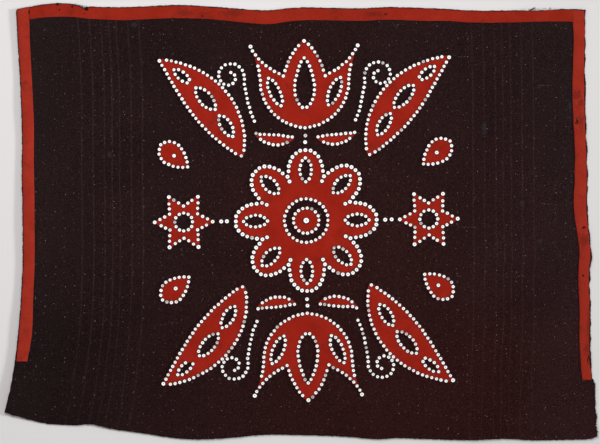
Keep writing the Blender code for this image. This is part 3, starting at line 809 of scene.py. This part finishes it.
def hand_cut(line):
    """The line as shears followed it, a little off the drawn one."""
    length, stray = HAND_CUT
    moved = []
    for x, y in line:
        off = noise.noise_vector(Vector((x / length, y / length, 2.0))) * stray
        moved.append((x + off.x, y + off.y))
    return moved


design_red = red_finish("design_red", DESIGN_RED, [], [])


def red_piece(node, outlines):
    """One piece of red wool: the first outline is its edge, and the others are holes in it."""
    lines = [hand_cut(outline) for outline in outlines]
    flat = bmesh.new()
    for line in lines:
        ring = [flat.verts.new((x, y, 0.0)) for x, y in line]
        for one, two in zip(ring, ring[1:] + ring[:1]):
            flat.edges.new((one, two))
    bmesh.ops.triangle_fill(flat, use_beauty=True, edges=flat.edges[:], normal=(0.0, 0.0, 1.0))
    for _ in range(4):
        long = [edge for edge in flat.edges if not edge.is_boundary and edge.calc_length() > CUT_CELL]
        bmesh.ops.subdivide_edges(flat, edges=long, cuts=1)
        bmesh.ops.triangulate(flat, faces=flat.faces[:])
        inner = [edge for edge in flat.edges if not edge.is_boundary]
        bmesh.ops.beautify_fill(flat, faces=flat.faces[:], edges=inner)
    edge_points = [point for line in lines for point in line]
    sewn = KDTree(len(edge_points))
    for k, (x, y) in enumerate(edge_points):
        sewn.insert((x, y, 0.0), k)
    sewn.balance()
    reach, rise = PUFF
    for vert in flat.verts:
        x, y = vert.co.x, vert.co.y
        inside = min(sewn.find((x, y, 0.0))[2] / reach, 1.0)
        puff = rise * inside * (2.0 - inside) * (1.0 + 0.5 * noise.noise(Vector((x / 16.0, y / 16.0, 6.0))))
        vert.co = Vector((x, y, cloth_top(x, y) + SEAT + puff)) * MM
    piece = close_sheet("red_" + node, flat, RED_THICK, 0.4)
    piece.data.materials.append(design_red)
    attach(piece, "root")
    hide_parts(node)


def petal_radius(angle):
    wave = abs(math.cos(PETALS / 2 * angle)) ** PETAL_FULLNESS
    return mix(PETAL_NOTCH, PETAL_TIP, wave)


def polar(radius, angle):
    return radius * math.cos(angle), radius * math.sin(angle)


FOUR_WAYS = [(end, side, flip_x, flip_y) for end, flip_y in (("top", 1), ("bottom", -1))
             for side, flip_x in (("right", 1), ("left", -1))]

petal_angles = [2.0 * math.pi * k / PETALS for k in range(PETALS)]
fine_angles = [2.0 * math.pi * k / (PETALS * 40) for k in range(PETALS * 40)]
flower_edge = [polar(petal_radius(angle), angle) for angle in fine_angles]
slot_out, slot_half_length, slot_half_width = PETAL_SLOT
petal_slots = [drop_outline(*polar(slot_out, angle), math.degrees(angle), slot_half_length, slot_half_width)
               for angle in petal_angles]
flower_hole = ring_outline(0.0, 0.0, FLOWER_HOLE)
disc_edge = ring_outline(0.0, 0.0, DISC_RADIUS)
red_piece("flower", [placed(line) for line in [flower_edge, flower_hole] + petal_slots])
red_piece("flower_disc", [placed(disc_edge)])

tulip_edge = [(x, y + TULIP_FOOT) for x, y in mirrored_outline(TULIP, 24)]
tulip_holes = [[(x, y + TULIP_FOOT) for x, y in drop_outline(*row)] for row in TULIP_HOLES]
for end, flip_y in (("top", 1), ("bottom", -1)):
    red_piece(f"tulip_{end}", [placed(line, 1, flip_y) for line in [tulip_edge] + tulip_holes])

leaf_edge = leaf_outline(LEAF_ROOT, LEAF_TIP, LEAF_BEND, LEAF_HALF_WIDTH, 60)
leaf_lenses = leaf_holes(LEAF_ROOT, LEAF_TIP, LEAF_BEND, LEAF_HOLES)
leaflet_edge = leaf_outline(LEAFLET_ROOT, LEAFLET_TIP, LEAFLET_BEND, LEAFLET_HALF_WIDTH, 30)
drop_edge = drop_outline(*DROP_AT, DROP_TURN, *DROP)
for end, side, flip_x, flip_y in FOUR_WAYS:
    red_piece(f"leaf_{end}_{side}", [placed(line, flip_x, flip_y) for line in [leaf_edge] + leaf_lenses])
    red_piece(f"leaflet_{end}_{side}", [placed(leaflet_edge, flip_x, flip_y)])
    red_piece(f"drop_{end}_{side}", [placed(drop_edge, flip_x, flip_y)])

star_corners = []
for k in range(2 * STAR_POINTS):
    x, y = polar(STAR_NOTCH if k % 2 else STAR_TIP, math.pi * k / STAR_POINTS)
    star_corners.append((STAR_AT + x, y))
star_edge = [point for one, two in zip(star_corners, star_corners[1:] + star_corners[:1])
             for point in arc(one, two, 0.0, 8)]
star_hole = ring_outline(STAR_AT, 0.0, STAR_HOLE)
for side, flip_x in (("right", 1), ("left", -1)):
    red_piece(f"star_{side}", [placed(star_edge, flip_x), placed(star_hole, flip_x)])


# Pearl buttons
# Two-hole shirt buttons turned from shell: a raised rim, a dished middle and a pale sheen, no two quite
# alike, and a few of them smoky. Their backs are dark and a little wider than their faces, a painted
# shadow round each button. Each is sewn on with dark thread, in rows that follow the edges of the red pieces.
SMALL_BUTTON = 10.8
POINT_BUTTON = 12.9
LARGE_BUTTON = 18.2
BACK_OVERLAP = 0.52
# Half section of a small button from its back to the foot of its dish. Columns: radius, height
BUTTON_SECTION = [(6.6, 0.0), (4.75, 1.0), (4.1, 2.0), (2.6, 1.5)]
BUTTON_STEPS = 12
HOLE_OUT = 1.35
HOLE_RADIUS = 0.75
HOLE_SIDES = 6
THREAD_BAR = (3.2, 1.0, 0.55)
CENTRE_REACH = 2.4
EDGE_INSET = 4.0
TIP_INSET = 6.5
ROW_INSET = 2.4
SMALL_PITCH = 14.2
POINT_PITCH = 16.0
CLEFT_OUT = 12.6

pearl, tree, shader = new_finish("pearl", 0.42, 0.6)
shader.inputs["IOR"].default_value = 1.6
place = shader_node(tree, "TexCoord").outputs["Object"]
tone = shader_node(tree, "Attribute", attribute_name="tone").outputs["Fac"]
ramp = shader_node(tree, "ValToRGB", [("Fac", tone)])
ramp.color_ramp.elements[0].color = (0.26, 0.25, 0.25, 1.0)
ramp.color_ramp.elements[1].color = (1.0, 0.965, 0.96, 1.0)
ramp.color_ramp.elements.new(0.3).color = (0.56, 0.50, 0.48, 1.0)
ramp.color_ramp.elements.new(0.6).color = (0.96, 0.91, 0.89, 1.0)
lustre = spread(tree, grain(tree, place, 300.0, 3.0), 0.3, 0.7, 0.0, 0.3)
sheen = blend_colours(tree, grain(tree, place, 130.0), (0.99, 0.90, 0.90), (0.92, 0.96, 0.95))
tree.links.new(blend_colours(tree, lustre, ramp.outputs["Color"], sheen), shader.inputs["Base Color"])

# Painted shadow: the dark colour of the buttons' widened backs stands in for the shade round each button.
shadow_back, tree, shader = new_finish("shadow_back", 0.7, 0.1)
place = shader_node(tree, "TexCoord").outputs["Object"]
tree.links.new(blend_colours(tree, grain(tree, place, 500.0), (0.004, 0.003, 0.003), (0.012, 0.008, 0.007)),
               shader.inputs["Base Color"])

dark_thread, tree, shader = new_finish("dark_thread", 0.9, 0.1)
place = shader_node(tree, "TexCoord").outputs["Object"]
tree.links.new(blend_colours(tree, grain(tree, place, 1500.0), (0.007, 0.005, 0.005), (0.037, 0.025, 0.023)),
               shader.inputs["Base Color"])

form = bmesh.new()
section = [form.verts.new((radius, 0.0, height)) for radius, height in BUTTON_SECTION]
lines = [form.edges.new(pair) for pair in zip(section, section[1:])]
bmesh.ops.spin(form, geom=section + lines, cent=(0, 0, 0), axis=(0, 0, 1), angle=math.tau,
               steps=BUTTON_STEPS, use_merge=True)
bmesh.ops.holes_fill(form, edges=form.edges[:])
dish = BUTTON_SECTION[-1][1]
for end in (-1, 1):
    hole = bmesh.ops.create_cone(form, cap_ends=True, segments=HOLE_SIDES, radius1=HOLE_RADIUS,
                                 radius2=HOLE_RADIUS, depth=0.2)["verts"]
    bmesh.ops.translate(form, verts=hole, vec=(HOLE_OUT * end, 0.0, dish - 0.05))
bar = bmesh.ops.create_cube(form, size=1.0)["verts"]
bmesh.ops.scale(form, verts=bar, vec=THREAD_BAR)
bmesh.ops.translate(form, verts=bar, vec=(0.0, 0.0, dish + 0.1))
# Faces near the middle take the dark thread, and faces that reach the back take the painted shadow colour.
for face in form.faces:
    if all(math.hypot(v.co.x, v.co.y) < CENTRE_REACH for v in face.verts):
        face.material_index = 1
    elif min(v.co.z for v in face.verts) == 0.0:
        face.material_index = 2
bmesh.ops.scale(form, verts=form.verts[:], vec=(MM, MM, MM))
button_form = finish_form("button_form", form, [pearl, dark_thread, shadow_back])
button_form.set_sharp_from_angle(angle=math.radians(48.0))


def inset_line(line, distance):
    """A closed line moved to its own left by a distance, so inwards when it runs anticlockwise."""
    moved = []
    for before, (x, y), after in zip(line[-1:] + line[:-1], line, line[1:] + line[:1]):
        along = (Vector(after) - Vector(before)).normalized()
        moved.append((x - along.y * distance, y + along.x * distance))
    return moved


def even_places(line, pitch, fixed=(), closed=True):
    """Places spread evenly along a line, one of them at each fixed point near it."""
    line = line + line[:1] if closed else line
    run = [0.0]
    for one, two in zip(line, line[1:]):
        run.append(run[-1] + math.dist(one, two))

    def at(distance):
        distance = distance % run[-1] if closed else min(distance, run[-1])
        k = min(max(bisect_right(run, distance) - 1, 0), len(line) - 2)
        share = (distance - run[k]) / max(run[k + 1] - run[k], 1e-9)
        return mix(line[k][0], line[k + 1][0], share), mix(line[k][1], line[k + 1][1], share)

    stops = sorted(run[min(range(len(line)), key=lambda k: math.dist(line[k], point))] for point in fixed)
    if not stops:
        count = round(run[-1] / pitch)
        return [at(run[-1] * k / count) for k in range(count + (not closed))]
    places = list(fixed)
    for start, end in zip(stops, stops[1:] + [stops[0] + run[-1]]):
        count = max(round((end - start) / pitch), 1)
        places += [at(mix(start, end, k / count)) for k in range(1, count)]
    return places


def drawn_in(point, towards, distance):
    """A place this far in from a point, towards another."""
    share = distance / math.dist(point, towards)
    return mix(point[0], towards[0], share), mix(point[1], towards[1], share)


class ButtonRows:
    """The buttons of one motif. Later buttons that would overlap an earlier one are left out."""

    def __init__(self, seed):
        self.draw = random.Random(seed)
        self.sewn = []

    def add(self, points, diameter, flip_x=1, flip_y=1, on_red=True, stray=0.7):
        for point in points:
            x, y = placed([point], flip_x, flip_y)[0]
            x += self.draw.uniform(-stray, stray)
            y += self.draw.uniform(-stray, stray)
            if all(math.dist((x, y), other[:2]) > (diameter + other[2]) * BACK_OVERLAP for other in self.sewn):
                self.sewn.append((x, y, diameter, on_red))

    def sew(self, name, nodes):
        """Makes the rows' mesh, with each button turned, tilted and toned in its own way."""
        places = []
        for x, y, diameter, on_red in self.sewn:
            seat = cloth_top(x, y) + (SEAT + RED_THICK + 0.6 if on_red else 0.2)
            size = diameter / SMALL_BUTTON * self.draw.uniform(0.93, 1.05)
            flat = min(1.25, 0.6 + 0.4 * size)
            tilt = Matrix.Rotation(math.radians(self.draw.gauss(0.0, 1.6)), 4, "X")
            tilt = tilt @ Matrix.Rotation(math.radians(self.draw.gauss(0.0, 1.6)), 4, "Y")
            turn = Matrix.Rotation(self.draw.uniform(0.0, math.pi), 4, "Z")
            scale = Matrix.Diagonal((size, size, flat, 1.0))
            chance = self.draw.random()
            tone = self.draw.uniform(0.75, 1.0)
            if chance < 0.16:
                tone = self.draw.uniform(0.45, 0.7)
            if chance < 0.05:
                tone = self.draw.uniform(0.05, 0.35)
            places.append((0, Matrix.Translation(Vector((x, y, seat)) * MM) @ tilt @ turn @ scale, tone))
        rows = add_copies(name, [button_form], places)
        for material in (pearl, dark_thread, shadow_back):
            rows.data.materials.append(material)
        if nodes:
            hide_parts(*nodes)
        return rows


def trim_hole(rows, outline, flip_x=1, flip_y=1, pitch=SMALL_PITCH):
    """A row round a hole, on the red just outside its edge."""
    rows.add(even_places(inset_line(outline, -ROW_INSET), pitch), SMALL_BUTTON, flip_x, flip_y)


rows = ButtonRows(11)
rows.add([(0.0, 0.0)], LARGE_BUTTON, stray=0.0)
tips = [polar(PETAL_TIP - EDGE_INSET, angle) for angle in petal_angles]
rows.add(tips, POINT_BUTTON, stray=0.0)
notches = [polar(PETAL_NOTCH - ROW_INSET, angle + math.pi / PETALS) for angle in petal_angles]
clefts = [polar(PETAL_NOTCH + CLEFT_OUT, angle + math.pi / PETALS) for angle in petal_angles]
rows.add(notches + clefts, POINT_BUTTON, stray=0.2)
rows.add(even_places(inset_line(flower_edge, ROW_INSET), POINT_PITCH, tips + notches), POINT_BUTTON)
rows.add(even_places(inset_line(disc_edge, ROW_INSET), SMALL_PITCH), SMALL_BUTTON)
trim_hole(rows, flower_hole)
for outline in petal_slots:
    trim_hole(rows, outline)
rows.sew("buttons_flower", ["button_disc"] + [f"button_petal_{k + 1}" for k in range(PETALS)])

rows = ButtonRows(12)
tip_rows = [TULIP[4][:2], TULIP[2][:2], (-TULIP[2][0], TULIP[2][1])]
tips = []
for tip in tip_rows:
    x, y = drawn_in(tip, (tip[0] * 0.6, 0.0), TIP_INSET)
    tips.append((x, y + TULIP_FOOT))
notches = [(side * TULIP[3][0], TULIP[3][1] + TULIP_FOOT - ROW_INSET * 2) for side in (1, -1)]
for flip_y in (1, -1):
    rows.add(tips, POINT_BUTTON, 1, flip_y, stray=0.0)
    rows.add(even_places(inset_line(tulip_edge, ROW_INSET), SMALL_PITCH, tips + notches), SMALL_BUTTON, 1, flip_y)
    for outline in tulip_holes:
        trim_hole(rows, outline, 1, flip_y)
    rows.add([(0.0, 232.0), (0.0, 251.0)], POINT_BUTTON, 1, flip_y, on_red=False)
rows.sew("buttons_tulips", [f"button_tulip_{end}_{side}" for end in ("top", "bottom")
                                               for side in ("left", "mid", "right")])

rows = ButtonRows(13)
leaf_tip = drawn_in(LEAF_TIP, LEAF_ROOT, TIP_INSET)
leaf_foot = drawn_in(LEAF_ROOT, LEAF_TIP, TIP_INSET)
leaflet_ends = [drawn_in(LEAFLET_TIP, LEAFLET_ROOT, TIP_INSET), drawn_in(LEAFLET_ROOT, LEAFLET_TIP, TIP_INSET)]
for _, _, flip_x, flip_y in FOUR_WAYS:
    rows.add([leaf_tip], POINT_BUTTON, flip_x, flip_y, stray=0.0)
    edge = even_places(inset_line(leaf_edge, ROW_INSET), SMALL_PITCH, [leaf_tip, leaf_foot])
    rows.add(edge, SMALL_BUTTON, flip_x, flip_y)
    for outline in leaf_lenses:
        trim_hole(rows, outline, flip_x, flip_y)
    edge = even_places(inset_line(leaflet_edge, ROW_INSET), SMALL_PITCH, leaflet_ends)
    rows.add(edge, SMALL_BUTTON, flip_x, flip_y)
rows.sew("buttons_leaves", [f"button_leaf_{end}_{side}" for end, side, _, _ in FOUR_WAYS])

rows = ButtonRows(14)
for _, _, flip_x, flip_y in FOUR_WAYS:
    rows.add([DROP_AT], POINT_BUTTON, flip_x, flip_y, stray=0.0)
    rows.add(even_places(inset_line(drop_edge, ROW_INSET), SMALL_PITCH), SMALL_BUTTON, flip_x, flip_y)
rows.sew("buttons_drops", [f"button_drop_{end}_{side}" for end, side, _, _ in FOUR_WAYS])

rows = ButtonRows(15)
tips = [drawn_in(corner, (STAR_AT, 0.0), TIP_INSET) for corner in star_corners[::2]]
notches = [drawn_in(corner, (STAR_AT, 0.0), ROW_INSET) for corner in star_corners[1::2]]
for flip_x in (1, -1):
    rows.add(tips, POINT_BUTTON, flip_x, stray=0.0)
    rows.add(even_places(inset_line(star_edge, ROW_INSET), SMALL_PITCH, tips + notches), SMALL_BUTTON, flip_x)
    trim_hole(rows, star_hole, flip_x)
    rows.add([(234.0, 0.0), (252.0, 0.0)], POINT_BUTTON, flip_x, on_red=False)
rows.sew("buttons_stars", [f"button_star_{side}_{k + 1}" for side in ("left", "right")
                                              for k in range(STAR_POINTS)])

# Tendrils: four curled rows of buttons sewn straight to the ground, between the tulips and the leaves.
# The curl runs outwards from its heart, and its tail goes down beside the tulip.
CURL_AT = (222.0, 428.0)
CURL_RADIUS = (13.0, 46.0)
CURL_TURNS = (-250.0, 200.0)
TAIL = [(174.0, 384.0), (168.0, 352.0), (160.0, 322.0), (149.0, 296.0)]

curl = []
for k in range(80):
    share = k / 79
    x, y = polar(mix(*CURL_RADIUS, share), math.radians(mix(*CURL_TURNS, share)))
    curl.append((CURL_AT[0] + x, CURL_AT[1] + y))
rows = ButtonRows(16)
for _, _, flip_x, flip_y in FOUR_WAYS:
    rows.add(even_places(curl + TAIL, SMALL_PITCH, closed=False), SMALL_BUTTON, flip_x, flip_y, on_red=False)
rows.sew("buttons_tendrils", [])


# Frayed edges
# Short loose wool fibres along the raw edges of the ground, thickest along the bottom and at the lower
# right, and longer ones in a tuft at the top edge.
FIBRE_RADIUS = 0.13
FIBRE_LENGTHS = (1.5, 3.0, 6.0)
FIBRE_BEND = 0.35
# Columns: how many, share of the edge that they lie along, chance of each length, way out in degrees
FIBRES = {
    "bottom": (3600, (0.0, 1.0), (45, 43, 12), -90.0),
    "top": (700, (0.0, 1.0), (80, 20, 0), 90.0),
    "tear": (90, (0.1, 0.128), (20, 60, 20), 90.0),
    "left": (420, (0.0, 1.0), (92, 8, 0), 180.0),
    "right": (520, (0.0, 1.0), (80, 20, 0), 0.0),
    "lower right": (620, (0.0, 0.13), (45, 45, 10), 0.0),
    "lower right corner": (22, (0.0, 0.005), (0, 40, 60), -25.0),
}
# A tuft of thicker yarn ends. Columns: place, how many, way out, length, radius
TUFT = ((675.5, 624.0), 8, 34.0, 15.0, 0.75)
FLOOR_GAP = 0.3


def fibre_form(length, radius, bend=FIBRE_BEND):
    """One fibre along X from the origin, tapered and bent to its side."""
    form = bmesh.new()
    bmesh.ops.create_cone(form, cap_ends=True, segments=3, radius1=radius, radius2=radius * 0.4, depth=length)
    upright = [edge for edge in form.edges if abs(edge.verts[0].co.z - edge.verts[1].co.z) > length / 2]
    bmesh.ops.subdivide_edges(form, edges=upright, cuts=1)
    bmesh.ops.translate(form, verts=form.verts[:], vec=(0.0, 0.0, length / 2))
    bmesh.ops.rotate(form, verts=form.verts[:], cent=(0, 0, 0), matrix=Matrix.Rotation(math.pi / 2, 3, "Y"))
    for vert in form.verts:
        vert.co.y += bend * vert.co.x ** 2 / length
    bmesh.ops.scale(form, verts=form.verts[:], vec=(MM, MM, MM))
    return finish_form("fibre_form", form)


def lay_fibre(kind, length, x, y, z, turn):
    """Places a fibre of this kind with its root at a point, kept off the floor."""
    size = draw.uniform(0.7, 1.25)
    drop = min(draw.uniform(-0.2, 0.25), (z - FLOOR_GAP) / (length * size))
    matrix = Matrix.Translation(Vector((x, y, z)) * MM) @ Matrix.Rotation(math.radians(turn), 4, "Z")
    matrix = matrix @ Matrix.Rotation(math.asin(max(drop, -0.9)), 4, "Y")
    matrix = matrix @ Matrix.Rotation(draw.choice((0.0, math.pi)), 4, "X") @ Matrix.Scale(size, 4)
    return kind, matrix, 0.5


(tuft_x, tuft_y), tuft_count, tuft_turn, tuft_length, tuft_radius = TUFT
fibre_forms = [fibre_form(length, FIBRE_RADIUS) for length in FIBRE_LENGTHS]
fibre_forms.append(fibre_form(tuft_length, tuft_radius, 0.06))
draw = random.Random(77)
fibres = []
for side, (count, (low, high), chances, out) in FIBRES.items():
    for _ in range(count):
        share = draw.uniform(low, high)
        across, up = {"bottom": (share, 0.0), "top": (share, 1.0), "tear": (share, 1.0),
                      "left": (0.0, share)}.get(side, (1.0, share))
        x, y, z = ground_place(across, up)
        kind = draw.choices(range(len(FIBRE_LENGTHS)), chances)[0]
        depth = CLOTH_THICK * draw.uniform(0.1, 0.9)
        fibres.append(lay_fibre(kind, FIBRE_LENGTHS[kind], x, y, z - depth, out + draw.uniform(-70.0, 70.0)))
for k in range(tuft_count):
    x, y = tuft_x + draw.uniform(-1.5, 1.5), tuft_y + draw.uniform(-0.7, 0.7)
    turn = tuft_turn + draw.uniform(-7.0, 7.0)
    fibres.append(lay_fibre(3, tuft_length, x, y, cloth_top(x, y) + RED_THICK + 2.4, turn))
fuzz = add_copies("edge_fibres", fibre_forms, fibres)
fuzz.data.materials.append(dark_wool)


# Loose pale threads
# Pale wool threads pulled out of the tear in the top edge, and short rows of old stitches left in the
# ground where mends were sewn.
PALE_RADIUS = 0.42
PALE_LENGTHS = (3.0, 6.0)
# Columns: start x, end x, how many
PALE_FUZZ = [(-662.0, -650.0, 6), (-651.0, -637.5, 105), (672.0, 684.0, 8), (690.0, 722.0, 20), (732.0, 742.0, 8),
             (762.0, 773.0, 8)]
OLD_STITCH = (1.5, 0.34)
OLD_PITCH = 5.2
# Columns: start x, end x, y
OLD_ROWS = [(463.0, 493.0, 487.5), (700.0, 742.0, 403.5), (463.5, 517.0, -15.0), (460.5, 476.0, -160.0),
            (638.0, 662.0, -160.0), (709.0, 742.0, 53.0)]

pale_thread, tree, shader = new_finish("pale_thread", 0.9, 0.05)
place = shader_node(tree, "TexCoord").outputs["Object"]
colour = blend_colours(tree, spread(tree, grain(tree, place, 240.0), 0.35, 0.65), (0.123, 0.119, 0.107), (0.295, 0.283, 0.254))
tree.links.new(colour, shader.inputs["Base Color"])

form = bmesh.new()
bmesh.ops.create_uvsphere(form, u_segments=6, v_segments=4, radius=1.0)
bmesh.ops.rotate(form, verts=form.verts[:], cent=(0, 0, 0), matrix=Matrix.Rotation(math.pi / 2, 3, "Y"))
half, radius = OLD_STITCH
bmesh.ops.scale(form, verts=form.verts[:], vec=Vector((half, radius, radius)) * MM)
pale_forms = [fibre_form(length, PALE_RADIUS) for length in PALE_LENGTHS] + [finish_form("old_stitch_form", form)]
draw = random.Random(19)
threads = []
for start, end, count in PALE_FUZZ:
    for _ in range(count):
        x = draw.uniform(start, end)
        y = read_table(TOP_EDGE, x) - torn(x, TEAR) - draw.uniform(-0.3, 1.5)
        kind = draw.choice((0, 0, 1))
        z = cloth_top(x, y) + draw.uniform(-0.6, 0.4)
        threads.append(lay_fibre(kind, PALE_LENGTHS[kind], x, y, z, draw.uniform(10.0, 165.0)))
for start, end, y in OLD_ROWS:
    count = round((end - start) / OLD_PITCH)
    for k in range(count):
        x = mix(start, end, (k + draw.uniform(0.2, 0.8)) / count)
        at = Vector((x, y + draw.uniform(-1.2, 1.2), cloth_top(x, y) + 0.15)) * MM
        threads.append((2, Matrix.Translation(at) @ Matrix.Rotation(draw.uniform(-0.9, 0.9), 4, "Z"), 0.5))
loose_threads = add_copies("loose_threads", pale_forms, threads)
loose_threads.data.materials.append(pale_thread)


# Floor, lights and camera
# A plain pale floor under a broad soft light that hangs above. A low distant lamp from the right throws
# the faint shadow at the left edge, and the camera looks straight down on the blanket through a long lens.
floor_net = bmesh.new()
bmesh.ops.create_grid(floor_net, x_segments=1, y_segments=1, size=14.0)
floor_mesh = bpy.data.meshes.new("floor")
floor_net.to_mesh(floor_mesh)
floor_net.free()
floor = bpy.data.objects.new("floor", floor_mesh)
bpy.context.scene.collection.objects.link(floor)
paper, tree, shader = new_finish("pale_floor", 0.9, 0.1)
shader.inputs["Base Color"].default_value = (0.656, 0.648, 0.645, 1.0)
floor_mesh.materials.append(paper)

# Columns: name, place, size, power, colour
SOFT_LIGHT = ("window", (-0.3, 1.05, 3.0), 1.6, 66.5, (1.0, 0.96, 0.955))
# A low distant lamp from the right. Columns: name, height in degrees, turn in degrees, spread, strength, colour
LOW_LIGHT = ("low_lamp", 16.5, -0.5, 7.0, 2.8, (0.94, 1.0, 1.0))

name, at, size, power, tint = SOFT_LIGHT
lamp = bpy.data.lights.new(name, "AREA")
lamp.color = tint
lamp.size = size
lamp.energy = power
light = bpy.data.objects.new(name, lamp)
light.location = at
light.rotation_euler = (-Vector(at)).to_track_quat("-Z", "Y").to_euler()
bpy.context.scene.collection.objects.link(light)

name, height, turn, width, strength, tint = LOW_LIGHT
lamp = bpy.data.lights.new(name, "SUN")
lamp.color = tint
lamp.angle = math.radians(width)
lamp.energy = strength
light = bpy.data.objects.new(name, lamp)
rise, around = math.radians(height), math.radians(turn)
way = Vector((math.cos(rise) * math.cos(around), math.cos(rise) * math.sin(around), math.sin(rise)))
light.location = way * 4.0
light.rotation_euler = (-way).to_track_quat("-Z", "Y").to_euler()
bpy.context.scene.collection.objects.link(light)

world = bpy.data.worlds.new("room")
world.use_nodes = True
world.node_tree.nodes["Background"].inputs["Color"].default_value = (1.0, 0.96, 0.955, 1.0)
world.node_tree.nodes["Background"].inputs["Strength"].default_value = 0.362
bpy.context.scene.world = world
bpy.context.scene.view_settings.view_transform = "Standard"

LENS = 110.0
SENSOR = 36.0
VIEW_WIDTH = 1.7736
VIEW_MIDDLE = (-0.0033, -0.0003)
camera_data = bpy.data.cameras.new("camera")
camera_data.lens = LENS
camera_data.sensor_width = SENSOR
camera = bpy.data.objects.new("camera", camera_data)
camera.location = (*VIEW_MIDDLE, VIEW_WIDTH * LENS / SENSOR + CLOTH_THICK * MM)
camera.rotation_euler = (0.0, 0.0, 0.0)
bpy.context.scene.collection.objects.link(camera)
bpy.context.scene.camera = camera
